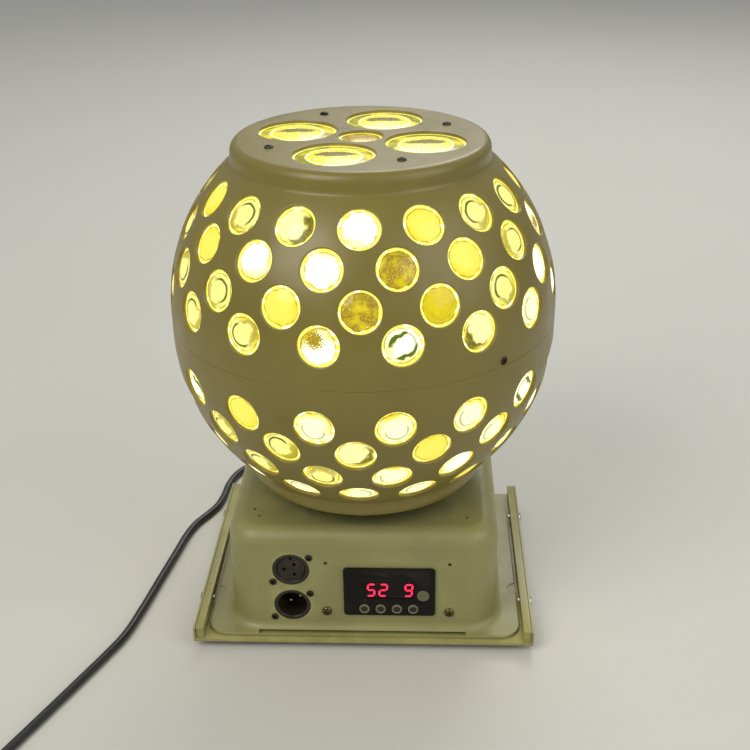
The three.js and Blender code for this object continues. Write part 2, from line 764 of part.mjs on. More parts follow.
function lampHead() {
  const top = lampBase + lamp.height;
  const socketTop = lampBase + post.intoLamp + clearance;
  const block = cut(
    barZ(lamp.radius, lampBase, top, lamp.sides),
    barZ(holeFor(post.radius, fineSides), lampBase - cutOver, socketTop, fineSides),
    barZ(lamp.boreRadius, lampBase, top + cutOver, smallSides),
  );
  add("heat_sink", aluminium, block);

  const sideShare = Math.cos(Math.PI / lamp.sides);
  const inner = lamp.radius + clearance / sideShare;
  const outer = inner + lamp.wrapThickness;
  const flatRadius = outer * sideShare;
  const middle = (lampBase + top) / 2;
  const half = lamp.emitter / 2;
  const emitters = Array.from({ length: lamp.sides }, (_, i) =>
    boxBetween(
      [-half, -flatRadius - lamp.emitterRise, middle - half],
      [half, -flatRadius + lamp.wrapThickness / 2, middle + half],
    ).rotateZ(rad(((i + halfStep) * fullTurn) / lamp.sides)),
  );
  const wrap = turned([[inner, lampBase], [outer, lampBase], [outer, top], [inner, top]], lamp.sides);
  add("led_wrap", whiteNylon, join(wrap, ...emitters));

  const boardBase = top + clearance;
  const boardTop = boardBase + lamp.wrapThickness;
  const topBoard = join(
    barZ(lamp.radius, boardBase, boardTop, lamp.sides),
    boxBetween([-half, -half, boardBase], [half, half, boardTop + lamp.emitterRise]),
  );
  add("led_top_board", whiteNylon, topBoard);
}

// A rounded rectangle of points at a height, anticlockwise from above.
function roundedRow(halfWidth, halfDepth, corner, z) {
  const centres = [[1, -1], [1, 1], [-1, 1], [-1, -1]];
  return centres.flatMap(([sx, sy], side) =>
    Array.from({ length: housing.cornerSteps + 1 }, (_, step) => {
      const angle = rad((side - 1 + step / housing.cornerSteps) * quarterTurn);
      return new THREE.Vector3(
        sx * (halfWidth - corner) + corner * Math.cos(angle),
        sy * (halfDepth - corner) + corner * Math.sin(angle),
        z,
      );
    }),
  );
}

// The wall's outline at a height, drawn in from the housing's full width.
function wallRow(inset, z) {
  return roundedRow(halfHousing - inset, rearY - inset, housing.cornerRadius - inset, z);
}

// Angles in equal steps through a quarter turn.
const quarterSteps = (count) => Array.from({ length: count + 1 }, (_, i) => rad((i * quarterTurn) / count));

function housingShell() {
  const flangeTop = housingBase + housing.flangeThickness;
  const innerTop = housingTop - housing.wall;
  const flangeRow = (z) =>
    roundedRow(halfHousing + housing.flangeSide, rearY + housing.flangeFront, housing.flangeCorner, z);
  const edgeBase = housingTop - housing.edgeRadius;
  const flareRows = quarterSteps(housing.flareSteps).map((angle) =>
    wallRow(-housing.flare * (1 - Math.sin(angle)), flangeTop + housing.flare * (1 - Math.cos(angle))),
  );
  const edgeRows = quarterSteps(housing.edgeSteps).map((angle) =>
    wallRow(housing.edgeRadius * (1 - Math.cos(angle)), edgeBase + housing.edgeRadius * Math.sin(angle)),
  );
  const shell = loft([
    wallRow(housing.wall + housing.innerEdge, innerTop),
    wallRow(housing.wall, innerTop - housing.innerEdge),
    wallRow(housing.wall, housingBase),
    flangeRow(housingBase),
    flangeRow(flangeTop),
    ...flareRows,
    ...edgeRows,
  ]);

  const throughFront = (radius, x, z, sides) =>
    barY(radius, frontY - cutOver, frontInnerY + cutOver, x, z, sides);
  const throughRear = (radius, x) =>
    barY(holeFor(radius, roundSides), rearY - housing.wall - cutOver, rearY + cutOver, x, gland.z);
  const throughTop = (radius, x, y, sides) =>
    barZ(radius, innerTop - cutOver, housingTop + cutOver, sides, x, y);
  const panelWindow = boxBetween(
    [panelLeft + panelOpeningInset.left, frontY - cutOver, panelBottom + panelOpeningInset.bottom],
    [panelRight - panelOpeningInset.right, frontInnerY + cutOver, panelTop - panelOpeningInset.top],
  );
  const slotBase = housingBase + footSlot.rise;
  const slot = boxBetween(
    [footSlot.fromLeft - halfHousing, frontY - housing.flangeFront - cutOver, slotBase],
    [halfHousing - footSlot.fromRight, frontInnerY + cutOver, slotBase + footSlot.height],
  );
  const topHoles = [
    [topHole.cornerFromSide - halfHousing, topHole.cornerFromFront],
    [halfHousing - topHole.cornerFromSide, topHole.cornerFromFront],
    [topHole.leftFromSide - halfHousing, topHole.leftFromFront],
    [halfHousing - topHole.rightFromSide, topHole.rightFromFront],
  ];
  const cuts = [
    panelWindow,
    slot,
    throughTop(holeFor(post.shoulderRadius, fineSides), 0, 0, fineSides),
    throughTop(holeFor(pinion.shaftRadius, roundSides), pinionX, pinionY, roundSides),
    ...topHoles.map(([x, fromFront]) => throughTop(topHole.radius, x, frontY + fromFront, smallSides)),
    throughRear(gland.bodyRadius, glandX),
    throughRear(fuse.bodyRadius, fuseX),
  ];
  const rivetHole = holeFor(rivet.shankRadius, smallSides);
  const screwHole = holeFor(panelScrew.shankRadius, smallSides);
  for (const z of [upperSocketZ, lowerSocketZ]) {
    cuts.push(throughFront(holeFor(socket.barrelRadius, fineSides), socketX, z, fineSides));
    for (const side of [1, -1]) {
      cuts.push(throughFront(rivetHole, socketX + side * rivet.x, z + side * rivet.z, smallSides));
    }
  }
  for (const x of Object.values(screwX)) {
    cuts.push(throughFront(screwHole, x, screwZ, smallSides));
    cuts.push(throughFront(pilotHole.radius, x, panelTop + pilotHole.abovePanel, smallSides));
  }
  add("base_housing", creamPlastic, cut(shell, ...cuts));
}

function trayAndRails() {
  const lipBase = foot.showing;
  const sideTop = trayTop + tray.sideRise;
  const railScrewZ = trayTop + tray.sideRise / 2;
  const screwRows = [trayFront + railScrew.fromFront, trayRear - railScrew.fromRear];
  const boltHole = holeFor(railScrew.shankRadius, smallSides);
  const bothSides = (from, to) => [Math.min(from, to), Math.max(from, to)];
  const sideBar = (radius, side, from, to, y, sides) =>
    barX(radius, ...bothSides(side * from, side * to), y, railScrewZ, sides);

  const floor = boxBetween(
    [-halfTray, trayFront, trayTop - tray.sheet],
    [halfTray, trayRear, trayTop],
  );
  const lips = [trayFront, trayRear - tray.sheet].map((near) =>
    boxBetween([-halfTray, near, lipBase], [halfTray, near + tray.sheet, trayTop]),
  );
  const walls = [-1, 1].map((side) => {
    const [low, high] = bothSides(side * halfTray, side * (halfTray - tray.sheet));
    return boxBetween([low, trayFront, lipBase], [high, trayRear, sideTop]);
  });
  const wallHoles = [-1, 1].flatMap((side) =>
    screwRows.map((y) =>
      sideBar(boltHole, side, halfTray - tray.sheet - cutOver, halfTray + cutOver, y, smallSides),
    ),
  );
  add("base_tray", creamPaint, cut(join(floor, ...lips, ...walls), ...wallHoles));

  const railOuter = halfTray - tray.sheet - clearance;
  const railInner = railOuter - rail.width;
  const railFront = trayFront + rail.frontInset;
  const railRear = trayRear - rail.frontInset;
  const railBase = trayTop + clearance;
  ["left", "right"].forEach((name, i) => {
    const side = i ? 1 : -1;
    const [low, high] = bothSides(side * railInner, side * railOuter);
    const bar = boxBetween([low, railFront, railBase], [high, railRear, sideTop]);
    const bore = boxBetween(
      [low + rail.wall, railFront - cutOver, railBase + rail.wall],
      [high - rail.wall, railRear + cutOver, sideTop - rail.wall],
    );
    const holes = screwRows.map((y) =>
      sideBar(boltHole, side, railInner - cutOver, railOuter + cutOver, y, smallSides),
    );
    add("side_rail_" + name, creamPaint, cut(bar, bore, ...holes));
    screwRows.forEach((y, row) => {
      const seat = halfTray + clearance;
      const tip = railInner - railScrew.tipOut;
      const screw = join(
        sideBar(railScrew.headRadius, side, seat, seat + railScrew.head, y, headSides),
        sideBar(railScrew.shankRadius, side, tip, seat + railScrew.head / 2, y, smallSides),
      );
      add("rail_screw_" + name + "_" + (row ? "rear" : "front"), steel, screw);
    });
  });

  const footX = halfTray - tray.sheet - foot.radius * 2;
  const footInset = tray.sheet + foot.radius * 2;
  const footY = { front: trayFront + footInset, rear: trayRear - footInset };
  const footTop = trayTop - tray.sheet - clearance;
  [[-1, footY.front], [1, footY.front], [1, footY.rear], [-1, footY.rear]].forEach(([sx, y], i) => {
    add("rubber_foot_" + (i + 1), rubber, barZ(foot.radius, 0, footTop, roundSides, sx * footX, y));
  });
}

function signalSockets() {
  const flangeFront = frontInnerY + clearance;
  const flangeRear = flangeFront + socket.flangeThickness;
  const rear = frontY + socket.depth;
  const insertRear = rear - socket.faceInset;
  const pinFront = frontY + contact.recess;
  const insertRadius = socket.boreRadius - clearance;
  [upperSocketZ, lowerSocketZ].forEach((z, i) => {
    const isInlet = i === 1;
    const name = isInlet ? "male_socket" : "female_socket";
    const body = join(
      barY(socket.barrelRadius, frontY, rear, socketX, z, fineSides),
      boxBetween(
        [socketX - socket.flangeWidth / 2, flangeFront, z - socket.flangeHeight / 2],
        [socketX + socket.flangeWidth / 2, flangeRear, z + socket.flangeHeight / 2],
      ),
    );
    const rivetHoles = [1, -1].map((side) =>
      barY(
        holeFor(rivet.shankRadius, smallSides),
        flangeFront - cutOver,
        flangeRear + cutOver,
        socketX + side * rivet.x,
        z + side * rivet.z,
        smallSides,
      ),
    );
    const bore = barY(socket.boreRadius, frontY - cutOver, rear + cutOver, socketX, z, roundSides);
    add(name + "_body", blackPlastic, cut(body, bore, ...rivetHoles));

    // The contacts stand on a triangle that points to the right, one on the right and two on the left.
    const contactPlaces = Array.from({ length: contact.count }, (_, k) =>
      onCircle(contact.circle, (k * fullTurn) / contact.count),
    );
    if (isInlet) {
      const carrier = barY(insertRadius, insertRear - socket.insertLength, insertRear, socketX, z);
      const pins = contactPlaces.map(([x, dz]) =>
        barY(contact.radius, pinFront, insertRear - socket.insertLength / 2, socketX + x, z + dz, smallSides),
      );
      add(name + "_contacts", blackPlastic, join(carrier, ...pins));
    } else {
      const face = frontY + socket.faceInset;
      const holes = contactPlaces.map(([x, dz]) =>
        barY(contact.radius, face - cutOver, face + contact.holeDepth, socketX - x, z + dz, smallSides),
      );
      add(name + "_insert", blackPlastic, cut(barY(insertRadius, face, insertRear, socketX, z), ...holes));
    }
    [1, -1].forEach((side, k) => {
      const seat = frontY - clearance;
      const x = socketX + side * rivet.x;
      const rivetZ = z + side * rivet.z;
      const solid = join(
        barY(rivet.headRadius, seat - rivet.head, seat, x, rivetZ, headSides),
        barY(rivet.shankRadius, seat - rivet.head / 2, seat + rivet.shank, x, rivetZ, smallSides),
      );
      add("socket_rivet_" + (2 * i + k + 1), darkSteel, solid);
    });
  });
}

const panelRear = frontY - clearance;
const panelFront = panelRear - panel.thickness;

function controlPanel() {
  const throughPanel = (radius, x, z) =>
    barY(holeFor(radius, roundSides), panelFront - cutOver, panelRear + cutOver, x, z);
  const rowMiddle = (button.count - 1) / 2;
  const buttonPlaces = Array.from(
    { length: button.count },
    (_, i) => displayX + button.rowShift + (i - rowMiddle) * button.pitch,
  );
  const buttonZ = panelBottom + button.fromBottom;
  const displayZ = panel.z + display.rise;
  const micX = panelRight - microphone.fromRight;
  const micZ = panel.z - microphone.drop;
  const displayBox = (inset, from, to) =>
    boxBetween(
      [displayX - display.width / 2 + inset, from, displayZ - display.height / 2 + inset],
      [displayX + display.width / 2 - inset, to, displayZ + display.height / 2 - inset],
    );
  const plate = cut(
    boxBetween([panelLeft, panelFront, panelBottom], [panelRight, panelRear, panelTop]),
    displayBox(0, panelFront - cutOver, panelRear + cutOver),
    ...buttonPlaces.map((x) => throughPanel(button.radius, x, buttonZ)),
    throughPanel(microphone.radius, micX, micZ),
  );
  add("display_panel", glossBlack, plate);
  add("display_module", glossBlack, displayBox(clearance, panelFront + clearance, boardY - clearance));

  const collarFront = panelRear + clearance;
  const collarMiddle = collarFront + button.collar / 2;
  const stemEnd = boardY - clearance - button.travel;
  buttonPlaces.forEach((x, i) => {
    const cap = join(
      barY(button.radius, panelFront - button.proud, collarMiddle, x, buttonZ),
      barY(button.collarRadius, collarFront, collarFront + button.collar, x, buttonZ, headSides),
      barY(button.stemRadius, collarMiddle, stemEnd, x, buttonZ, smallSides),
    );
    add("menu_button_" + (i + 1), greyPlastic, cap);
  });
  const capsule = join(
    barY(microphone.radius, panelFront - microphone.proud, panelRear, micX, micZ),
    barY(microphone.rearRadius, panelRear - panel.thickness / 2, boardY - clearance, micX, micZ, headSides),
  );
  add("microphone", greyPlastic, capsule);

  const boardRear = boardY + board.thickness;
  const pcb = boxBetween(
    [screwX.left - board.besideScrew, boardY, panelBottom - board.belowPanel],
    [screwX.right + board.besideScrew, boardRear, panelTop + board.abovePanel],
  );
  const screwHole = holeFor(panelScrew.shankRadius, smallSides);
  const screwHoles = Object.values(screwX).map((x) =>
    barY(screwHole, boardY - cutOver, boardRear + cutOver, x, screwZ, smallSides),
  );
  add("control_board", circuitGreen, cut(pcb, ...screwHoles));
  for (const [side, x] of Object.entries(screwX)) {
    const headMiddle = panelRear - panelScrew.head / 2;
    const screw = join(
      barY(panelScrew.headRadius, panelRear - panelScrew.head, panelRear, x, screwZ),
      barY(panelScrew.shankRadius, headMiddle, panelRear + panelScrew.shank, x, screwZ, smallSides),
    );
    add("panel_screw_" + side, steel, screw);
  }

  const supplyRight = halfHousing - housing.wall - supply.fromWall;
  const supplyFront = boardRear + supply.behindBoard;
  const supplyBox = boxBetween(
    [supplyRight - supply.width, supplyFront, housingBase],
    [supplyRight, supplyFront + supply.depth, housingBase + supply.height],
  );
  add("power_supply", aluminium, supplyBox);
}

const rearSeat = rearY + clearance;
const glandMouthY = rearSeat + gland.flange + gland.tail;

function rearFittings() {
  const tailLength = gland.tail + gland.flange / 2;
  const tail = new THREE.CylinderGeometry(gland.mouthRadius, gland.tailRadius, tailLength, roundSides);
  tail.translate(glandX, glandMouthY - tailLength / 2, gland.z);
  const relief = join(
    barY(gland.bodyRadius, rearY - housing.wall - gland.flange, rearSeat + gland.flange / 2, glandX, gland.z),
    barY(gland.radius, rearSeat, rearSeat + gland.flange, glandX, gland.z),
    tail,
  );
  add("strain_relief", blackPlastic, relief);
  const holder = join(
    barY(fuse.bodyRadius, rearY - fuse.body, rearSeat + fuse.cap / 2, fuseX, gland.z),
    barY(fuse.radius, rearSeat, rearSeat + fuse.cap, fuseX, gland.z),
  );
  add("fuse_holder", blackPlastic, holder);
}

const heading = new THREE.Vector3(...onCircle(1, leadEnd.heading), 0);

function mainsLead() {
  const behind = leadRoute.map(([x, y, z]) => new THREE.Vector3(x, glandMouthY + clearance + y, z));
  const onFloor = leadFloor.map(([x, y]) => new THREE.Vector3(x, y, lead.radius));
  const last = onFloor[onFloor.length - 1].clone().addScaledVector(heading, leadEnd.runOn);
  const curve = new THREE.CatmullRomCurve3([...behind, ...onFloor, last], false, "centripetal");
  const section = new THREE.Shape(
    Array.from({ length: lead.sides }, (_, k) =>
      new THREE.Vector2(...onCircle(lead.radius, ((k + halfStep) * fullTurn) / lead.sides)),
    ),
  );
  const steps = Math.round(curve.getLength() / (lead.radius * 2 * lead.stepDiameters));
  const tube = new THREE.ExtrudeGeometry(section, { steps, extrudePath: curve, bevelEnabled: false });
  add("mains_lead", rubber, tube);
  console.log("lead length " + curve.getLength().toFixed(0));
  return last;
}

// The centre line of the coil, wound anticlockwise in two layers: in along the floor and out on top.
function coilLine(start) {
  const diameter = lead.radius * 2;
  const pitch = diameter + coil.spacing;
  const first = new THREE.Vector3(heading.y, -heading.x, 0).multiplyScalar(coil.radius);
  const middle = start.clone().sub(first);
  const up = new THREE.Vector3(0, 0, 1);
  const steps = Math.round(coil.turns * coil.stepsPerTurn);
  const points = [start.clone().addScaledVector(heading, -diameter)];
  for (let step = 0; step <= steps; step++) {
    const turns = step / coil.stepsPerTurn;
    const turnsLeft = (steps - step) / coil.stepsPerTurn;
    const climb = THREE.MathUtils.smoothstep(turns - turnsLeft, -coil.climbTurns, coil.climbTurns);
    const point = first
      .clone()
      .setLength(coil.radius - pitch * Math.min(turns, turnsLeft))
      .applyAxisAngle(up, rad(turns * fullTurn));
    points.push(point.add(middle).setZ(lead.radius + pitch * climb));
  }
  const last = points[points.length - 1];
  const leaving = last.clone().sub(middle).setZ(0).normalize().applyAxisAngle(up, rad(quarterTurn));
  points.push(last.clone().addScaledVector(leaving, coil.tail));
  return { points, leaving };
}

// A tube with flat ends along level points, its sections square to the line.
function tubeAlong(points, radius, sides) {
  const up = new THREE.Vector3(0, 0, 1);
  const rings = points.map((point, i) => {
    const before = points[Math.max(i - 1, 0)];
    const after = points[Math.min(i + 1, points.length - 1)];
    const along = after.clone().sub(before).normalize();
    const across = new THREE.Vector3().crossVectors(along, up).normalize();
    const rise = new THREE.Vector3().crossVectors(across, along);
    return Array.from({ length: sides }, (_, k) => {
      const [x, z] = onCircle(radius, (k * fullTurn) / sides);
      return point.clone().addScaledVector(across, x).addScaledVector(rise, z);
    });
  });
  const faces = [];
  for (let i = 0; i + 1 < rings.length; i++) {
    rings[i].forEach((point, k) => {
      const next = (k + 1) % sides;
      faces.push([point, rings[i + 1][next], rings[i][next]], [point, rings[i + 1][k], rings[i + 1][next]]);
    });
  }
  const last = rings[rings.length - 1];
  for (let k = 1; k + 1 < sides; k++) {
    faces.push([rings[0][0], rings[0][k], rings[0][k + 1]], [last[0], last[k + 1], last[k]]);
  }
  return fromFaces(faces);
}

function coilAndPlug(start) {
  const diameter = lead.radius * 2;
  const { points: line, leaving } = coilLine(start.clone().addScaledVector(heading, clearance + diameter));
  add("mains_coil", rubber, tubeAlong(line, lead.radius, coil.sides));
  let length = 0;
  let leastGap = Infinity;
  line.forEach((point, i) => {
    if (i) length += point.distanceTo(line[i - 1]);
    for (let k = i + coil.stepsPerTurn / 2; k < line.length; k++) {
      leastGap = Math.min(leastGap, point.distanceTo(line[k]) - diameter);
    }
  });
  console.log("coil length " + length.toFixed(0) + ", least gap " + leastGap.toFixed(2));

  const end = line[line.length - 1];
  const group = new THREE.Group();
  group.position.set(end.x, end.y, 0);
  group.rotation.z = Math.atan2(leaving.y, leaving.x);
  root.add(group);
  const halfHeight = end.z;
  const halfWidth = plug.width / 2;
  const rows = [
    [0, plug.nose],
    [plug.taper, halfWidth],
    [plug.length, halfWidth],
  ];
  const outline = new THREE.Shape([
    ...rows.map(([x, y]) => new THREE.Vector2(clearance + x, -y)),
    ...rows.reverse().map(([x, y]) => new THREE.Vector2(clearance + x, y)),
  ]);
  const body = new THREE.ExtrudeGeometry(outline, { depth: 2 * halfHeight, bevelEnabled: false });
  const faceX = clearance + plug.length;
  const pinEnd = faceX + plug.pinLength;
  const pins = [-1, 1].map((side) =>
    barX(plug.pinRadius, faceX - plug.nose, pinEnd, (side * plug.pinPitch) / 2, halfHeight, headSides),
  );
  add("mains_plug", blackPlastic, join(body, ...pins), group);
}

trayAndRails();
housingShell();
signalSockets();
controlPanel();
rearFittings();
drive();
lampHead();
root.add(ballAssembly());
coilAndPlug(mainsLead());

export default root;
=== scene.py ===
import math
import random
from contextlib import contextmanager

import bmesh
import bpy
from mathutils import Matrix, Vector


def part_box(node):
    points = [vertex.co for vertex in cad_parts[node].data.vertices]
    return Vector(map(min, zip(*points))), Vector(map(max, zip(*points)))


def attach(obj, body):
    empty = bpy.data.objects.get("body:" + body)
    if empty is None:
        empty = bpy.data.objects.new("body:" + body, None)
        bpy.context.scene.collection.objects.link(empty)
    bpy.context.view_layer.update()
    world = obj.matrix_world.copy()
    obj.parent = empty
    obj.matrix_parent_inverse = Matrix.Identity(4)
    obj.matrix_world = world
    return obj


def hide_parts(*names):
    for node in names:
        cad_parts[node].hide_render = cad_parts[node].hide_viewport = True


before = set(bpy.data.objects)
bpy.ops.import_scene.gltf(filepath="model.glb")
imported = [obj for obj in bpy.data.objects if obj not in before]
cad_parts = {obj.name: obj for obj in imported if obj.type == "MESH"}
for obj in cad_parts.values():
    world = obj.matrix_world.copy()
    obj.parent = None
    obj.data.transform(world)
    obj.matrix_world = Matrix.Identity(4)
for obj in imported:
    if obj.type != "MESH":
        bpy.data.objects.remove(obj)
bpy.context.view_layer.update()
mm = 0.001
weld = 0.00002
print("frame loaded,", len(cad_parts), "nodes")


# Small helpers for meshes, all in millimetres.
def linkObject(name, data):
    obj = bpy.data.objects.new(name, data)
    bpy.context.scene.collection.objects.link(obj)
    return obj


def dropObject(obj):
    data = obj.data
    bpy.data.objects.remove(obj)
    if data.users == 0:
        bpy.data.meshes.remove(data)


def objectFromBmesh(name, bm, outward=True):
    if outward:
        bmesh.ops.recalc_face_normals(bm, faces=bm.faces)
    mesh = bpy.data.meshes.new(name)
    bm.to_mesh(mesh)
    bm.free()
    return linkObject(name, mesh)


@contextmanager
def editing(obj):  # opens a piece's mesh and writes it back
    bm = bmesh.new()
    bm.from_mesh(obj.data)
    yield bm
    bm.to_mesh(obj.data)
    bm.free()


def bake(obj):  # turns live modifiers into a plain mesh
    bpy.context.view_layer.update()
    evaluated = obj.evaluated_get(bpy.context.evaluated_depsgraph_get())
    made = bpy.data.meshes.new_from_object(evaluated)
    old = obj.data
    obj.modifiers.clear()
    obj.data = made
    if old.users == 0:
        bpy.data.meshes.remove(old)
    return obj


def modify(obj, name, kind, **settings):
    modifier = obj.modifiers.new(name, kind)
    for key, value in settings.items():
        setattr(modifier, key, value)
    return bake(obj)


def shade(obj, sharpAngle=35):  # smooth, but crisp at edges sharper than the angle
    with editing(obj) as bm:
        for face in bm.faces:
            face.smooth = True
        for edge in bm.edges:
            edge.smooth = edge.calc_face_angle(math.pi) < math.radians(sharpAngle)
    return obj


def evenNormals(obj):  # lets the large flat faces rule the shading round their holes
    return modify(obj, "evenNormals", "WEIGHTED_NORMAL", keep_sharp=True, weight=100)


def soften(obj, width, segments=2, angle=40):
    return modify(
        obj, "softEdges", "BEVEL", width=width * mm, segments=segments, limit_method="ANGLE",
        angle_limit=math.radians(angle))


def joinMeshes(name, objs):
    bm = bmesh.new()
    for obj in objs:
        bm.from_mesh(obj.data)
    for obj in objs:
        dropObject(obj)
    return objectFromBmesh(name, bm, False)


def cutBy(obj, tools):  # takes the tools' shapes out of a closed piece
    tool = joinMeshes("cutter", tools)
    modify(obj, "openings", "BOOLEAN", object=tool, operation="DIFFERENCE", solver="EXACT", use_self=True)
    dropObject(tool)
    return obj


def circleTurns(count):
    return [2 * math.pi * k / count for k in range(count)]


def polar(radius, angle, x=0, y=0):
    return x + radius * math.cos(angle), y + radius * math.sin(angle)


def easeIn(share):  # runs smoothly from 0 to 1
    return share * share * (3 - 2 * share)


def addPoints(bm, points):
    return [bm.verts.new(Vector(point) * mm) for point in points]


def bridge(bm, first, second, closed=True):  # faces between two rows with as many points
    count = len(first)
    steps = [(k, (k + 1) % count) for k in range(count if closed else count - 1)]
    return [bm.faces.new((first[k], first[after], second[after], second[k])) for k, after in steps]


# How many sides the round pieces and round cuts have, by name. The others have the usual number.
usualSides = 64
sides = {
    "plugPin": 28, "cordBoot": 48, "slotEnd": 20, "rivetHole": 16, "screwHole": 16, "pilotHole": 20,
    "topHole": 20, "postHole": 72, "pinionHole": 28, "glandHole": 40, "fuseHole": 40, "flangeMark": 40,
    "rubberFoot": 48, "barrel": 72, "femaleSocketInsert": 72, "contactHole": 24, "contactPin": 24,
    "socketRivet": 36, "menuButton": 40, "menuButtonDot": 32, "buttonHole": 40, "microphoneHole": 40,
    "microphoneCapsule": 48, "soundHole": 12, "grip": 12,
}


def lathe(name, profile, count=None):  # turns a closed profile of radius and height pairs round Z
    segments = count or sides.get(name, usualSides)
    bm = bmesh.new()
    rings = []
    for radius, height in profile:
        points = [polar(radius, a) for a in circleTurns(segments)] if radius else [(0, 0)]
        rings.append([bm.verts.new((x * mm, y * mm, height * mm)) for x, y in points])
    pairs = list(zip(rings, rings[1:]))
    if len(rings[0]) > 1:
        pairs.append((rings[-1], rings[0]))
    for low, high in pairs:
        for k in range(segments):
            after = (k + 1) % segments
            corners = [low[k % len(low)], low[after % len(low)], high[after % len(high)], high[k % len(high)]]
            corners = list(dict.fromkeys(corners))
            if len(corners) > 2:
                bm.faces.new(corners)
    return objectFromBmesh(name, bm)


def place(obj, x=0, y=0, z=0, turn=None):
    obj.data.transform(Matrix.Translation(Vector((x, y, z)) * mm) @ (turn or Matrix.Identity(4)))
    return obj


def turned(degrees, axis="Z"):
    return Matrix.Rotation(math.radians(degrees), 4, axis)


def facing(direction):  # turns a piece built along +Z towards a direction
    return Vector(direction).to_track_quat("Z", "Y").to_matrix().to_4x4()


def latheY(name, profile, x, z, count=None):  # a lathed piece that lies along +Y
    return place(lathe(name, profile, count), x, 0, z, facing((0, 1, 0)))


def rodProfile(radius, start, end):
    return [(0, start), (radius, start), (radius, end), (0, end)]


def barY(name, radius, y1, y2, x, z):
    return latheY(name, rodProfile(radius, y1, y2), x, z)


def barZ(name, radius, z1, z2, x, y):
    return place(lathe(name, rodProfile(radius, z1, z2)), x, y)


def block(name, low, high):  # a closed box between two corners
    bm = bmesh.new()
    bmesh.ops.create_cube(bm, size=1)
    bmesh.ops.scale(bm, vec=[(b - a) * mm for a, b in zip(low, high)], verts=bm.verts)
    bmesh.ops.translate(bm, vec=[(b + a) / 2 * mm for a, b in zip(low, high)], verts=bm.verts)
    return objectFromBmesh(name, bm, False)


def roundedBox(left, right, low, high, corner, steps, first=0):  # an outline, from the quarter named by first
    centres = [(right - corner, high - corner), (left + corner, high - corner),
               (left + corner, low + corner), (right - corner, low + corner)]
    turns = [(side, step / steps) for side in range(first, first + 4) for step in range(steps + 1)]
    return [polar(corner, math.radians((side + share) * 90), *centres[side % 4]) for side, share in turns]


def loftRows(name, rows):  # rows of points from below to above, closed by a cap at each end
    bm = bmesh.new()
    rings = [addPoints(bm, row) for row in rows]
    for low, high in zip(rings, rings[1:]):
        bridge(bm, low, high)
    bm.faces.new(rings[0])
    bm.faces.new(rings[-1])
    return objectFromBmesh(name, bm)


def softenedNode(name, node, width, segments=2):  # a merged copy of a CAD node with softened edges
    bm = bmesh.new()
    bm.from_mesh(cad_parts[node].data)
    bmesh.ops.remove_doubles(bm, verts=bm.verts, dist=weld)
    bmesh.ops.dissolve_limit(bm, angle_limit=math.radians(1), verts=bm.verts, edges=bm.edges)
    return shade(soften(objectFromBmesh(name, bm, False), width, segments))


def dress(obj, finish, body, slot, *nodes):
    obj.data.materials.clear()
    obj.data.materials.append(finishes[finish])
    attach(obj, body)
    if nodes:
        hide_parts(*nodes)
    return obj


# The camera stands where the photographer's did.
camera = {
    "place": (0.0381, -0.707, 0.513),
    "heading": 2.54,
    "pitch": -26.46,
    "roll": -0.84,
    "lens": 56.74,
    "sensor": 36,
    "clip": (0.02, 20),
}


def makeCamera():
    heading, pitchDown = math.radians(camera["heading"]), math.radians(camera["pitch"])
    level = math.cos(pitchDown)
    forward = Vector((-math.sin(heading) * level, math.cos(heading) * level, math.sin(pitchDown)))
    data = bpy.data.cameras.new("productCamera")
    data.lens = camera["lens"]
    data.sensor_width = camera["sensor"]
    data.clip_start, data.clip_end = camera["clip"]
    obj = linkObject("productCamera", data)
    turn = forward.to_track_quat("-Z", "Y").to_matrix().to_4x4()
    obj.matrix_world = Matrix.Translation(Vector(camera["place"])) @ turn @ turned(camera["roll"])
    bpy.context.scene.camera = obj


makeCamera()
print("camera set")


# Node trees: a short way to add a node, set its values and link its inputs.
def addNode(tree, kind, values=None, **settings):
    node = tree.nodes.new(kind)
    for key, value in settings.items():
        setattr(node, key, value)
    setInputs(tree, node.inputs, values or {})
    return node


def setInput(tree, socket, value):
    value = getattr(value, "socket", value)
    if isinstance(value, bpy.types.NodeSocket):
        tree.links.new(value, socket)
    else:
        socket.default_value = value


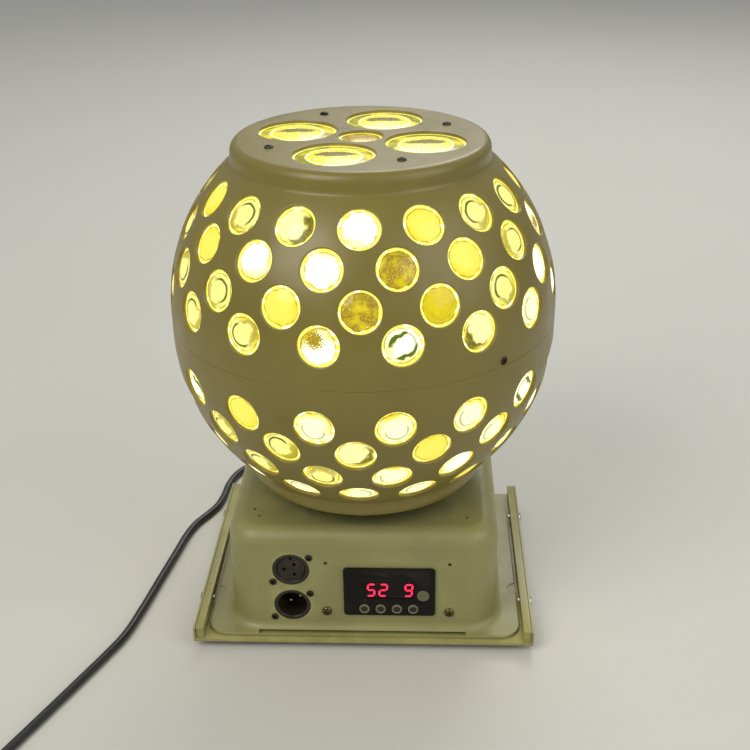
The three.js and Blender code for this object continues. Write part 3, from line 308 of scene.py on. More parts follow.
class Wire:  # a value on its way through a node tree, so that its sums read as sums
    def __init__(self, socket):
        self.socket = getattr(socket, "socket", socket)
        self.tree = self.socket.id_data

    def combine(self, operation, other=0.0):
        return Wire(addNode(self.tree, "ShaderNodeMath", {0: self, 1: other}, operation=operation).outputs[0])

    def __add__(self, other):
        return self.combine("ADD", other)

    def __sub__(self, other):
        return self.combine("SUBTRACT", other)

    def __mul__(self, other):
        return self.combine("MULTIPLY", other)

    def __truediv__(self, other):
        return self.combine("DIVIDE", other)

    def __abs__(self):
        return self.combine("ABSOLUTE")

    def clamped(self):  # keeps the last step's result within 0 and 1
        self.socket.node.use_clamp = True
        return self

    def span(self, fromMin, fromMax, toMin=0.0, toMax=1.0):  # a smooth step from one range to another
        values = {0: self, 1: fromMin, 2: fromMax, 3: toMin, 4: toMax}
        node = addNode(self.tree, "ShaderNodeMapRange", values, interpolation_type="SMOOTHSTEP")
        return Wire(node.outputs[0])

    def near(self, middle, far, close):  # rises towards 1 where the value is close to the middle
        return abs(self - middle).span(far, close)

    def vector(self, operation, *others, result=0, **more):
        values = {**dict(enumerate((self, *others))), **more}
        return Wire(addNode(self.tree, "ShaderNodeVectorMath", values, operation=operation).outputs[result])

    def scaled(self, factor):
        return self.vector("SCALE", Scale=factor)

    def distanceTo(self, point):
        return self.vector("DISTANCE", point, result="Value")

    def parts(self):
        return [Wire(part) for part in addNode(self.tree, "ShaderNodeSeparateXYZ", {0: self}).outputs]

    def over(self, factor, cover, blend="MIX"):  # this colour with another one over it
        return mixColors(self.tree, factor, self, cover, blend)

    def mix(self, first, second):  # this value chooses between two colours
        return mixColors(self.tree, self, first, second, "MIX")

    def noise(self, scale, detail, roughness=0.5):
        values = {"Vector": self, "Scale": scale, "Detail": detail, "Roughness": roughness}
        return Wire(addNode(self.tree, "ShaderNodeTexNoise", values).outputs[0])

    def cells(self, scale):
        return Wire(addNode(self.tree, "ShaderNodeTexVoronoi", {"Vector": self, "Scale": scale}).outputs[0])

    def into(self, socket):
        self.tree.links.new(self.socket, socket)


def mixColors(tree, factor, first, second, blend):
    values = {0: factor, 6: first, 7: second}  # the node's factor and its two colour inputs
    return Wire(addNode(tree, "ShaderNodeMix", values, data_type="RGBA", blend_type=blend).outputs[2])


def objectPlace(tree):
    return Wire(addNode(tree, "ShaderNodeTexCoord").outputs["Object"])


def newMaterial(name):
    material = bpy.data.materials.new(name)
    material.use_nodes = True
    return material, material.node_tree, material.node_tree.nodes["Principled BSDF"].inputs


def setInputs(tree, inputs, values):
    for key, value in values.items():
        setInput(tree, inputs[key], value)


def bumpNormal(tree, bump, height):
    values = {"Strength": bump[0], "Distance": bump[1], "Height": height}
    return addNode(tree, "ShaderNodeBump", values).outputs[0]


def newGroup(name, inputs, outputs, kind="ShaderNodeTree"):
    tree = bpy.data.node_groups.new(name, kind)
    for label, (socketKind, value) in inputs.items():
        socket = tree.interface.new_socket(label, in_out="INPUT", socket_type=socketKind)
        if value is not None:
            socket.default_value = value
    for label, socketKind in outputs.items():
        tree.interface.new_socket(label, in_out="OUTPUT", socket_type=socketKind)
    given = {socket.name: Wire(socket) for socket in tree.nodes.new("NodeGroupInput").outputs if socket.name}
    return tree, given, tree.nodes.new("NodeGroupOutput").inputs


color, number = "NodeSocketColor", "NodeSocketFloat"
surfaceOutputs = {"Color": color, "Roughness": number, "Height": number}
wear = {
    "grainDetail": 3.0, "blotchDetail": 5.0, "blotchRoughness": 0.62, "speckSize": 420.0, "patchSize": 60.0,
    "patchDetail": 4.0, "blotchSpan": (0.25, 0.75, -1.0, 1.0), "edgeSpan": (0.52, 0.6),
    "edgePatch": (0.42, 0.62), "speckSpan": (0.16, 0.06), "speckPatch": (0.5, 0.72),
    "hollowSpan": (0.49, 0.44), "spreadSpan": (0.3, 0.7, -1.0, 1.0), "dustRoughness": 0.25,
    "blotchHeight": 0.35, "edgeHeight": 0.3,
}


def makeSurfaceWear():  # moulded grain, blotches, dust specks, and convex edges made lighter as rubbed wear and as a painted highlight
    inputs = {
        "Color": (color, (0.5, 0.5, 0.5, 1)),
        "Rubbed Color": (color, (0.8, 0.8, 0.8, 1)),
        "Dust Color": (color, (0.4, 0.38, 0.3, 1)),
        "Grain Size": (number, 900.0),
        "Blotch Size": (number, 22.0),
        "Blotch": (number, 0.12),
        "Dust": (number, 0.2),
        "Rubbing": (number, 0.3),
        "Roughness": (number, 0.4),
        "Roughness Spread": (number, 0.12),
    }
    tree, given, out = newGroup("surfaceWear", inputs, surfaceOutputs)
    spot = objectPlace(tree)
    blotch = spot.noise(given["Blotch Size"], wear["blotchDetail"], wear["blotchRoughness"])
    patch = spot.noise(wear["patchSize"], wear["patchDetail"])
    shift = blotch.span(*wear["blotchSpan"]) * given["Blotch"]
    tinted = addNode(tree, "ShaderNodeHueSaturation", {"Value": shift + 1.0, "Color": given["Color"]})
    pointed = Wire(addNode(tree, "ShaderNodeNewGeometry").outputs["Pointiness"])
    # Convex edges take the lighter colour: partly rubbed wear, partly a painted highlight along the edges.
    edge = pointed.span(*wear["edgeSpan"]) * patch.span(*wear["edgePatch"])
    rubbedAndHighlit = Wire(tinted.outputs[0]).over(edge * given["Rubbing"], given["Rubbed Color"])
    specks = spot.cells(wear["speckSize"]).span(*wear["speckSpan"]) * patch.span(*wear["speckPatch"])
    dust = (specks.combine("MAXIMUM", pointed.span(*wear["hollowSpan"])) * given["Dust"]).clamped()
    rubbedAndHighlit.over(dust, given["Dust Color"]).into(out["Color"])
    spread = ((patch + blotch) * 0.5).span(*wear["spreadSpan"]) * given["Roughness Spread"]
    (spread + given["Roughness"] + dust * wear["dustRoughness"]).clamped().into(out["Roughness"])
    height = spot.noise(given["Grain Size"], wear["grainDetail"]) + blotch * wear["blotchHeight"]
    (height - edge * wear["edgeHeight"]).into(out["Height"])
    return tree


brushing = {"detail": 6.0, "roughness": 0.7, "span": (0.3, 0.7), "share": 0.35, "tint": (0.85, 0.85, 0.85, 1)}


def makeDirectionGrain():  # brushed or rolled lines along one axis
    inputs = {"Stretch": ("NodeSocketVector", (40.0, 40.0, 1400.0)), "Depth": (number, 1.0)}
    tree, given, out = newGroup("directionGrain", inputs, {"Mask": number, "Height": number})
    stretched = objectPlace(tree).vector("MULTIPLY", given["Stretch"])
    lines = stretched.noise(1.0, brushing["detail"], brushing["roughness"])
    lines.span(*brushing["span"]).into(out["Mask"])
    (lines * given["Depth"]).into(out["Height"])
    return tree


surfaceWear = makeSurfaceWear()
directionGrain = makeDirectionGrain()


def rgb(*values):  # a screen colour of 0 to 255 as a linear one
    linear = [(v / 255) / 12.92 if v <= 10 else ((v / 255 + 0.055) / 1.055) ** 2.4 for v in values]
    return (*linear, 1.0)


finishColors = ("Color", "Rubbed Color", "Dust Color")
finishAmounts = ("Grain Size", "Blotch Size", "Blotch", "Dust", "Rubbing", "Roughness", "Roughness Spread")


def makeFinish(name, colors, amounts, bump, shader=None, brushed=None):
    material, tree, principled = newMaterial(name)
    setInputs(tree, principled, shader or {})
    given = {key: rgb(*values) for key, values in zip(finishColors, colors) if values}
    given.update(zip(finishAmounts, amounts))
    group = addNode(tree, "ShaderNodeGroup", given, node_tree=surfaceWear)
    height, baseColor = Wire(group.outputs["Height"]), Wire(group.outputs["Color"])
    if brushed:
        lines = addNode(tree, "ShaderNodeGroup", {"Stretch": brushed}, node_tree=directionGrain)
        height = height + lines.outputs["Height"]
        lineShare = Wire(lines.outputs["Mask"]) * brushing["share"]
        baseColor = baseColor.over(lineShare, brushing["tint"], "MULTIPLY")
    setInputs(tree, principled, {
        "Base Color": baseColor,
        "Roughness": group.outputs["Roughness"],
        "Normal": bumpNormal(tree, bump, height),
    })
    return material


# Finishes by name: plain, lighter edge (rubbed wear and painted highlight) and dusty colours; the amounts
# named above; bump and its reach; the shader's own values; and the stretch of brushed lines.
metal = {"Metallic": 1.0}
finishTable = {
    # The shell's olive tint and darkness are painted light: a cream shell as seen in the dim yellow glow of
    # its own lenses.
    "shellCream": (
        ((124, 111, 48), (158, 146, 80), (88, 78, 34)), (1500, 14, 0.09, 0.22, 0.5, 0.36, 0.1),
        (0.12, 0.0003), {"Coat Weight": 0.15, "Coat Roughness": 0.3, "Specular IOR Level": 0.45}),
    # The housing's olive cream is painted light as well: cream plastic lit by the lower lenses' yellow glow,
    # so lighter than the shell.
    "housingCream": (
        ((138, 134, 84), (172, 168, 112), (114, 110, 64)), (1300, 11, 0.1, 0.28, 0.55, 0.4, 0.12),
        (0.14, 0.0003), {"Coat Weight": 0.12, "Coat Roughness": 0.35}),
    # The tray's olive cream is painted light as well: the yellow glow of the lenses on a light painted tray.
    "trayPaint": (
        ((148, 142, 84), (178, 172, 108), (124, 118, 68)), (2400, 17, 0.04, 0.15, 0.35, 0.42, 0.1),
        (0.3, 0.0002), {"Coat Weight": 0.2, "Coat Roughness": 0.25}),
    "socketBlack": (
        ((31, 25, 17), (92, 78, 62), (96, 88, 66)), (1900, 22, 0.18, 0.3, 0.5, 0.38, 0.12),
        (0.18, 0.0003), {"Specular IOR Level": 0.45}),
    "rivetBlack": (
        ((27, 23, 16), (84, 76, 58), (70, 62, 42)), (1900, 22, 0.2, 0.2, 0.4, 0.42, 0.1),
        (0.16, 0.0003), {"Metallic": 0.5}),
    "panelGloss": (
        ((15, 12, 9), (60, 54, 46), (74, 68, 52)), (2600, 30, 0.15, 0.14, 0.4, 0.12, 0.06),
        (0.03, 0.0002), {"Coat Weight": 0.1, "Coat Roughness": 0.08, "Specular IOR Level": 0.16}),
    "displayGlass": (
        ((17, 9, 8), (60, 30, 28), (56, 44, 36)), (900, 22, 0.1, 0.1, 0.3, 0.1, 0.04),
        (0.02, 0.0002), {"Coat Weight": 0.15, "Coat Roughness": 0.06, "Specular IOR Level": 0.16}),
    "buttonGrey": (
        ((104, 100, 72), (142, 138, 110), None), (2200, 22, 0.1, 0.3, 0.6, 0.45, 0.12),
        (0.12, 0.0002)),
    "chromeSteel": (
        ((206, 202, 190), (228, 226, 218), (120, 112, 88)), (1600, 22, 0.08, 0.25, 0.3, 0.2, 0.08),
        (0.08, 0.0002), metal, (900.0, 900.0, 160.0)),
    # The dark olive steel is a painted reflection: chrome screw heads reflecting dim, yellow-lit
    # surroundings.
    "dullSteel": (
        ((104, 98, 62), (150, 144, 108), (84, 78, 44)), (1700, 22, 0.12, 0.3, 0.3, 0.3, 0.1),
        (0.1, 0.0002), metal),
    "darkSteel": (
        ((44, 38, 30), (150, 142, 124), (104, 96, 70)), (1800, 22, 0.2, 0.3, 0.5, 0.44, 0.12),
        (0.16, 0.0003), metal),
    "spunAluminium": (
        ((186, 186, 182), (214, 214, 210), (128, 124, 108)), (1400, 22, 0.08, 0.2, 0.3, 0.32, 0.1),
        (0.12, 0.0003), metal, (1100.0, 60.0, 60.0)),
    "oiledBronze": (
        ((168, 124, 66), (206, 168, 104), (70, 52, 30)), (1700, 22, 0.2, 0.35, 0.3, 0.3, 0.12),
        (0.14, 0.0003), metal),
    "footRubber": (
        ((34, 33, 31), (74, 72, 66), (116, 110, 92)), (1200, 22, 0.2, 0.5, 0.5, 0.72, 0.1),
        (0.35, 0.0004)),
    "boardGreen": (
        ((24, 82, 46), (60, 130, 84), (110, 120, 84)), (2600, 80, 0.3, 0.25, 0.3, 0.34, 0.12),
        (0.25, 0.0003), {}, (600.0, 600.0, 90.0)),
    "gearNylon": (
        ((222, 219, 204), (238, 236, 226), (120, 108, 80)), (1500, 22, 0.06, 0.4, 0.3, 0.46, 0.12),
        (0.12, 0.0003), {"Subsurface Weight": 0.05}),
    "pinBrass": (
        ((226, 206, 168), (242, 232, 206), (130, 104, 60)), (1600, 22, 0.1, 0.2, 0.3, 0.24, 0.12),
        (0.08, 0.0002), metal),
    "cordVinyl": (
        ((33, 32, 29), (84, 82, 74), (104, 99, 82)), (1500, 40, 0.2, 0.35, 0.4, 0.42, 0.12),
        (0.25, 0.0003), {"Specular IOR Level": 0.5}),
}
finishes = {name: makeFinish(name, *row) for name, row in finishTable.items()}
print(len(finishes), "finishes made")


# The floor and a soft studio light.
studio = {
    "floorHalf": 40000.0,
    "floorTints": ((0.56, 0.55, 0.5, 1), (0.6, 0.59, 0.54, 1)),
    "floorCloud": (3.0, 4.0),
    "floorRoughness": 0.6,
    "skyTints": ((0.525, 0.52, 0.505, 1), (0.95, 0.97, 1.0, 1)),
    "skyRise": (0.0, 0.3),
    "skyStrength": 0.4,
    "aim": (0, 0, 0.16),
    "lights": (
        ("softKey", (-1.1, -1.3, 1.7), 1.3, 26, (1.0, 0.97, 0.9)),
        ("softFill", (1.5, -0.9, 1.2), 1.6, 13, (0.97, 0.98, 1.0)),
        ("softBack", (0.3, 1.5, 1.6), 1.2, 17, (1.0, 0.98, 0.94)),
    ),
}


def makeFloor():
    half = studio["floorHalf"]
    bm = bmesh.new()
    bm.faces.new(addPoints(bm, [(-half, -half, 0), (half, -half, 0), (half, half, 0), (-half, half, 0)]))
    floor = objectFromBmesh("paleFloor", bm, False)
    material, tree, principled = newMaterial("paleFloor")
    tint = objectPlace(tree).noise(*studio["floorCloud"]).mix(*studio["floorTints"])
    setInputs(tree, principled, {"Base Color": tint, "Roughness": studio["floorRoughness"]})
    floor.data.materials.append(material)


def makeSky():
    world = bpy.data.worlds.new("softSky")
    world.use_nodes = True
    tree = world.node_tree
    direction = Wire(addNode(tree, "ShaderNodeTexCoord").outputs["Generated"])
    sky = direction.parts()[2].span(*studio["skyRise"]).mix(*studio["skyTints"])
    setInputs(tree, tree.nodes["Background"].inputs, {0: sky, 1: studio["skyStrength"]})
    bpy.context.scene.world = world


def makeLights():
    for name, spot, size, power, tint in studio["lights"]:
        data = bpy.data.lights.new(name, "AREA")
        data.energy, data.color, data.size = power, tint, size
        obj = linkObject(name, data)
        obj.location = spot
        obj.rotation_mode = "QUATERNION"
        obj.rotation_quaternion = (Vector(studio["aim"]) - Vector(spot)).to_track_quat("-Z", "Y")


makeFloor()
makeSky()
makeLights()
bpy.context.scene.view_settings.view_transform = "Standard"  # keeps the yellow of the lit lenses
print("floor and lights set")


# The mains lead: a round cord on one path from the rear gland to the plug.
lead = {
    "radius": 2.8, "sides": 16, "length": 1.566, "exit": (-52.0, 104.3, 30.0),
    "route": [
        (-52, 104.3, 30), (-52, 112.1, 30), (-53, 123.6, 27), (-56.5, 135.6, 17.5), (-64, 145.6, 8),
        (-76, 151.6, 3.6), (-90, 151.1, 2.8), (-104, 144.6, 2.8), (-114, 132.6, 2.8), (-119.2, 114, 2.8),
        (-120.6, 97, 2.8), (-123.6, 82, 2.8), (-129.6, 69, 2.8), (-136.2, 56.5, 2.8), (-140.6, 41, 2.8),
        (-144, 20, 2.8), (-147.3, 0, 2.8), (-150.2, -18, 2.8), (-155, -48, 2.8), (-161, -78.2, 2.8),
        (-167.2, -94.9, 2.8), (-181.7, -128.4, 2.8), (-198.9, -167.3, 2.8), (-209, -190, 2.8),
        (-223.07, -223.14, 2.8)],
    "routeSteps": 6, "coilCentre": (-189.0, -244.0), "coilRadius": 39.5, "turnPitch": 6.2,
    "coilTurns": 16 / 3, "coilStart": 157.0, "coilSteps": 192, "coilClimb": 0.5, "tail": 26.0, "tailSteps": 6,
    "plugHeading": 7.0, "uvLength": 20, "sharpAngle": 60,
}


def smoothRoute(points, steps):  # a centripetal spline through the route's points
    points = [Vector(p) for p in points]
    points = [2 * points[0] - points[1]] + points + [2 * points[-1] - points[-2]]
    line = []
    for i in range(1, len(points) - 2):
        p = points[i - 1:i + 3]
        t = [0.0]
        for a, b in zip(p, p[1:]):
            t.append(t[-1] + math.sqrt((b - a).length))
        for s in range(steps):
            u = t[1] + (t[2] - t[1]) * s / steps
            level = p
            for reach in (1, 2):
                pairs = enumerate(zip(level, level[1:]))
                level = [a.lerp(b, (u - t[j]) / (t[j + reach] - t[j])) for j, (a, b) in pairs]
            line.append(level[0].lerp(level[1], (u - t[1]) / (t[2] - t[1])))
    return line + [points[-2]]


def leadLine():
    line = smoothRoute(lead["route"], lead["routeSteps"])
    turns, climb, steps = lead["coilTurns"], lead["coilClimb"], lead["coilSteps"]
    for step in range(steps + 1):
        t = turns * step / steps
        radius = lead["coilRadius"] - lead["turnPitch"] * min(t, turns - t)
        share = min(1, max(0, (2 * t - turns + climb) / (2 * climb)))
        z = lead["radius"] + lead["turnPitch"] * easeIn(share)
        a = math.radians(lead["coilStart"]) + 2 * math.pi * t
        line.append(Vector((*polar(radius, a, *lead["coilCentre"]), z)))
    out = Vector((*polar(1, math.radians(lead["plugHeading"])), 0))
    last, steps = line[-1], lead["tailSteps"]
    line += [last + out * lead["tail"] * k / steps for k in range(1, steps + 1)]
    return line, out


def tube(name, line, radius, count):  # a closed round tube along a line, with its own UV map
    bm = bmesh.new()
    uv = bm.loops.layers.uv.new("along")
    side = Vector((0, 0, 1))
    rings, lengths = [], [0.0]
    for i, point in enumerate(line):
        ahead = (line[min(i + 1, len(line) - 1)] - line[max(i - 1, 0)]).normalized()
        side = (side - ahead * side.dot(ahead)).normalized()
        other = ahead.cross(side)
        if i:
            lengths.append(lengths[-1] + (point - line[i - 1]).length)
        spokes = [(side * math.cos(a) + other * math.sin(a)) * radius for a in circleTurns(count)]
        rings.append(addPoints(bm, [point + spoke for spoke in spokes]))
    for i, (low, high) in enumerate(zip(rings, rings[1:])):
        for k, face in enumerate(bridge(bm, low, high)):
            for loop, (u, v) in zip(face.loops, ((k, i), (k + 1, i), (k + 1, i + 1), (k, i + 1))):
                loop[uv].uv = (u / count, lengths[v] / lead["uvLength"])
    bm.faces.new(rings[0])
    bm.faces.new(rings[-1])
    return objectFromBmesh(name, bm)


strap = {
    "azimuth": 30.0, "from": 20.0, "to": 38.6, "top": 12.1, "width": 8.0, "thickness": 1.1, "under": 0.35,
    "corner": 5.6, "cornerSteps": 6, "edge": 0.3, "flapFrom": 3.0, "flapTo": 15.0, "flapBase": 0.9,
    "flapTop": 2.1, "flapEdge": 0.5,
}


def makeStrap():  # a hook-and-loop tie round the coil's turns
    bm = bmesh.new()
    half, grid = strap["width"] / 2, []
    for grow, y in ((0, -half), (strap["thickness"], -half), (strap["thickness"], half), (0, half)):
        base, corner = strap["under"] - min(grow, strap["under"]), strap["corner"] + grow
        sizes = (strap["from"] - grow, strap["to"] + grow, base, strap["top"] + grow, corner)
        ring = roundedBox(*sizes, strap["cornerSteps"], -1)
        grid.append(addPoints(bm, [(x, y, z) for x, z in ring]))
    for low, high in zip(grid, grid[1:] + grid[:1]):
        bridge(bm, low, high)
    loop = soften(objectFromBmesh("coilStrap", bm), strap["edge"])
    low = (strap["from"] + strap["flapFrom"], -half + strap["edge"], strap["top"] + strap["flapBase"])
    high = (strap["from"] + strap["flapTo"], half - strap["edge"], strap["top"] + strap["flapTop"])
    both = joinMeshes("coilStrap", [loop, soften(block("strapFlap", low, high), strap["flapEdge"], 3)])
    return shade(place(both, *lead["coilCentre"], 0, turned(strap["azimuth"])))


plug = {
    "start": 0.3, "length": 38.0, "stations": 44, "taper": 17.0, "halfWidth": 13.5, "nose": 5.4,
    "height": 18.0, "ridgeDepth": 0.55, "ridgePitch": 3.1, "ridgesFrom": 3, "ridgesTo": 20, "ridgeShare": 0.8,
    "edge": 1.6, "rounding": 1.4, "corner": 6.0, "cornerShare": 0.82, "mark": ((22, -6, 0), (34, 6, 0.5)),
    "markDepth": 0.62, "markCorner": 1.2, "pinPitch": 9.5, "pinLength": 18.8, "cornerSteps": 6,
    "rowAngle": 50, "sharpAngle": 40,
    "pinFoot": [(0, -2), (2.6, -2), (2.6, 0.5), (1.95, 0.9), (1.95, 9.5), (2.0, 9.8)],
    "pinTip": [(2.0, -1.4), (1.7, -0.5), (1.0, -0.1), (0, 0)],
}


def plugRow(x):
    rise = easeIn(min(1, (x - plug["start"]) / plug["taper"]))
    halfWidth = plug["nose"] + (plug["halfWidth"] - plug["nose"]) * rise
    halfHeight = plug["nose"] + (plug["height"] / 2 - plug["nose"]) * rise
    ridged = plug["ridgesFrom"] < x < plug["ridgesTo"]
    ridge = plug["ridgeDepth"] * (0.5 - 0.5 * math.cos(2 * math.pi * x / plug["ridgePitch"])) if ridged else 0
    edge = min(1, (plug["length"] + plug["start"] - x) / plug["edge"])
    inset = plug["rounding"] * (1 - math.sqrt(max(0, 1 - (1 - edge) ** 2)))
    corner = min(halfHeight, plug["corner"]) * plug["cornerShare"] - inset
    wide, tall = halfWidth - ridge - inset, halfHeight - ridge * plug["ridgeShare"] - inset
    return [(x, y, z) for y, z in roundedBox(-wide, wide, -tall, tall, corner, plug["cornerSteps"])]


def makePlug(end, out):
    stations, length = plug["stations"], plug["length"]
    rows = [plugRow(plug["start"] + length * i / stations) for i in range(stations + 1)]
    body = shade(loftRows("plugBody", rows), plug["rowAngle"])
    mark = place(block("plugMark", *plug["mark"]), 0, 0, plug["height"] / 2 - plug["markDepth"])
    shade(cutBy(body, [soften(mark, plug["markCorner"], 3)]), plug["sharpAngle"])
    tip = length + plug["pinLength"]
    profile = [(r, length + x) for r, x in plug["pinFoot"]] + [(r, tip + x) for r, x in plug["pinTip"]]
    along = facing((1, 0, 0))
    pins = [place(lathe("plugPin", profile), 0, side * plug["pinPitch"], 0, along) for side in (-1, 1)]
    turn = Matrix.Rotation(math.atan2(out.y, out.x), 4, "Z")
    both = (body, shade(joinMeshes("plugPins", pins)))
    return [place(obj, end.x, end.y, plug["height"] / 2, turn) for obj in both]


boot = {
    "sharpAngle": 45, "x": -52.0, "z": 30.0, "seat": 77.3, "mouth": 104.3, "ribs": 5, "ribStart": 4.2,
    "ribEnd": 6.0, "radius": 5.35, "taper": 1.6, "ribDepth": 0.85,
    "foot": [
        (0, -5.6), (5.1, -5.6), (5.6, -5.1), (5.6, 0), (7.1, 0), (7.5, 0.5), (7.5, 2.3), (6.9, 3.0),
        (5.6, 3.2)],
    "end": [(4.0, -1.8), (3.9, -0.5), (3.5, 0), (0, 0)],
    "ribShares": [(0, 0), (0, 0.5), (1, 0.62), (1, 0.88)],
}


def makeBoot():  # the tapered strain relief, with its ribs
    seat, mouth = boot["seat"], boot["mouth"]
    profile = [(r, seat + y) for r, y in boot["foot"]]
    start, step = seat + boot["ribStart"], (mouth - seat - boot["ribEnd"]) / boot["ribs"]
    for rib in range(boot["ribs"]):
        y = start + step * rib
        radius = boot["radius"] - boot["taper"] * (y - seat) / (mouth - seat)
        profile += [(radius - boot["ribDepth"] * sunk, y + step * share) for sunk, share in boot["ribShares"]]
    profile += [(r, mouth + y) for r, y in boot["end"]]
    return shade(latheY("cordBoot", profile, boot["x"], boot["z"]), boot["sharpAngle"])


def makeLead():
    line, out = leadLine()
    print("lead length", round(sum((b - a).length for a, b in zip(line, line[1:])), 1), "mm")
    cord = shade(tube("mainsLead", line, lead["radius"], lead["sides"]), lead["sharpAngle"])
    dress(cord, "cordVinyl", "base", "lead_rubber", "mains_lead", "mains_coil")
    strapPiece = dress(makeStrap(), "footRubber", "base", "black_plastic")
    body, pins = makePlug(line[-1], out)
    dress(body, "cordVinyl", "base", "lead_rubber", "mains_plug")
    dress(pins, "chromeSteel", "base", "steel")
    dress(makeBoot(), "socketBlack", "base", "black_plastic", "strain_relief")
    [tuple(p * mm) for p in line]


makeLead()
print("mains lead laid")


# Geometry Nodes trees: one turns copies of a slice round Z, one sets copies of a piece on points.
geometrySocket, materialSocket = "NodeSocketGeometry", "NodeSocketMaterial"


def finishCopies(tree, copies, finish, socket, distance=None):  # welded where a distance is given
    whole = addNode(tree, "GeometryNodeRealizeInstances", {0: copies}).outputs[0]
    if distance:
        values = {"Geometry": whole, "Distance": distance}
        whole = addNode(tree, "GeometryNodeMergeByDistance", values).outputs[0]
    values = {"Geometry": whole, "Material": finish}
    Wire(addNode(tree, "GeometryNodeSetMaterial", values).outputs[0]).into(socket)


def makeTurnedSlices():
    inputs = {
        "Slice": (geometrySocket, None),
        "Count": ("NodeSocketInt", 16),
        "Weld Distance": (number, weld),
        "Finish": (materialSocket, None),
    }
    tree, given, out = newGroup("turnedSlices", inputs, {"Ring": geometrySocket}, "GeometryNodeTree")
    points = addNode(tree, "GeometryNodePoints", {"Count": given["Count"]}).outputs[0]
    turn = Wire(addNode(tree, "GeometryNodeInputIndex").outputs[0]) * (2 * math.pi) / given["Count"]
    euler = addNode(tree, "ShaderNodeCombineXYZ", {"Z": turn}).outputs[0]
    rotation = addNode(tree, "FunctionNodeEulerToRotation", {0: euler}).outputs[0]
    values = {"Points": points, "Instance": given["Slice"], "Rotation": rotation}
    copies = addNode(tree, "GeometryNodeInstanceOnPoints", values).outputs[0]
    finishCopies(tree, copies, given["Finish"], out["Ring"], given["Weld Distance"])
    return tree


def makePlacedCopies():
    inputs = {
        "Places": (geometrySocket, None),
        "Piece": ("NodeSocketObject", None),
        "Size": (number, 1.0),
        "Finish": (materialSocket, None),
    }
    tree, given, out = newGroup("placedCopies", inputs, {"Pieces": geometrySocket}, "GeometryNodeTree")
    piece = addNode(tree, "GeometryNodeObjectInfo", {"Object": given["Piece"]}).outputs["Geometry"]
    turn = addNode(tree, "GeometryNodeInputNamedAttribute", {"Name": "turn"}, data_type="FLOAT_VECTOR")
    rotation = addNode(tree, "FunctionNodeEulerToRotation", {0: turn.outputs[0]}).outputs[0]
    values = {"Points": given["Places"], "Instance": piece, "Rotation": rotation, "Scale": given["Size"]}
    copies = addNode(tree, "GeometryNodeInstanceOnPoints", values).outputs[0]
    finishCopies(tree, copies, given["Finish"], out["Pieces"])
    return tree


turnedSlices = makeTurnedSlices()
placedCopies = makePlacedCopies()


def runTree(obj, name, tree, values):
    modifier = obj.modifiers.new(name, "NODES")
    modifier.node_group = tree
    for item in tree.interface.items_tree:
        if item.item_type == "SOCKET" and item.in_out == "INPUT" and item.name in values:
            modifier[item.identifier] = values[item.name]
    return bake(obj)


def turnRound(name, piece, count, finish):
    piece.name = name
    values = {"Count": count, "Weld Distance": weld, "Finish": finishes[finish]}
    runTree(piece, "slices", turnedSlices, values)
    with editing(piece) as bm:
        bmesh.ops.recalc_face_normals(bm, faces=bm.faces)
    return piece


def addVectors(mesh, name, vectors):
    layer = mesh.attributes.new(name, "FLOAT_VECTOR", "POINT")
    for item, vector in zip(layer.data, vectors):
        item.vector = vector


def setCopies(name, piece, places, finish, extra=None):  # places are [(point, turn)], in mm and a matrix
    mesh = bpy.data.meshes.new(name)
    mesh.from_pydata([Vector(point) * mm for point, turn in places], [], [])
    addVectors(mesh, "turn", [turn.to_euler() for point, turn in places])
    for key, vectors in (extra or {}).items():
        addVectors(mesh, key, vectors)
    obj = linkObject(name, mesh)
    runTree(obj, "copies", placedCopies, {"Piece": piece, "Size": 1.0, "Finish": finishes[finish]})
    dropObject(piece)
    return shade(obj)


def dressCopies(name, piece, places, finish, body, slot, *nodes):
    return dress(setCopies(name, piece, places, finish), finish, body, slot, *nodes)


# The ball: two half shells of diamond cells with a lens hole in each.
shell = {
    "radius": 123.0,
    "wall": 2.0,
    "band": 6.9,
    "seam": 0.05,
    "seamEdge": [(0, 0.3), (0, 0.12), (-0.08, 0.02), (-0.5, 0)],
    "lensesPerRing": 16,
    "holeRadius": 12.25,
    "holeFillet": 0.75,
    "filletAngles": (22.5, 45, 67.5, 90),
    "ringAngles": [9.0, 18.3, 28.9, 39.9],
    "ringTurned": [True, False, True, False],
    "edgeSteps": 8,
    "plateauRadius": 81.0,
    "plateauWaist": 79.8,
    "plateauEdge": 6.5,
    "coveRise": 1.0,
    "coveHeight": 4.5,
    "coveSteps": 4,
    "rimSteps": 8,
    "insideFoot": 2.0,
    "insideDrop": 8.0,
    "insideRim": (1.5, 1.2),
    "upperTurn": 2.1,
    "sharpAngle": 30,
}
pitch = 360 / shell["lensesPerRing"]
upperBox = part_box("ball_shell_upper")
ballZ = upperBox[0].z / mm - shell["seam"]
plateauTop = upperBox[1].z / mm - ballZ
footAngle = math.degrees(math.acos(shell["plateauRadius"] / shell["radius"]))
upperTurn, lowerTurn = turned(shell["upperTurn"]), turned(180, "Y")
bandMiddle = Vector((0, 0, shell["band"]))


def lensFrame(azimuth, latitude):  # east, north and outward as a turn
    a, l = math.radians(azimuth), math.radians(latitude)
    out = Vector((math.cos(l) * math.sin(a), -math.cos(l) * math.cos(a), math.sin(l)))
    east = Vector((math.cos(a), math.sin(a), 0))
    return Matrix((east, out.cross(east), out)).transposed()


def ballPoint(azimuth, latitude, radius):
    a, l = math.radians(azimuth), math.radians(latitude)
    level = radius * math.cos(l)
    return Vector((level * math.sin(a), -level * math.cos(a), shell["band"] + radius * math.sin(l)))


def holeLoop(azimuth, latitude, radius, rim, count):
    turn = lensFrame(azimuth, latitude)
    depth = math.sqrt(radius ** 2 - rim ** 2)
    return [turn @ Vector((*polar(rim, a), depth)) + bandMiddle for a in circleTurns(count)]


def ringAzimuth(ring):
    return pitch / 2 if shell["ringTurned"][ring] else 0.0


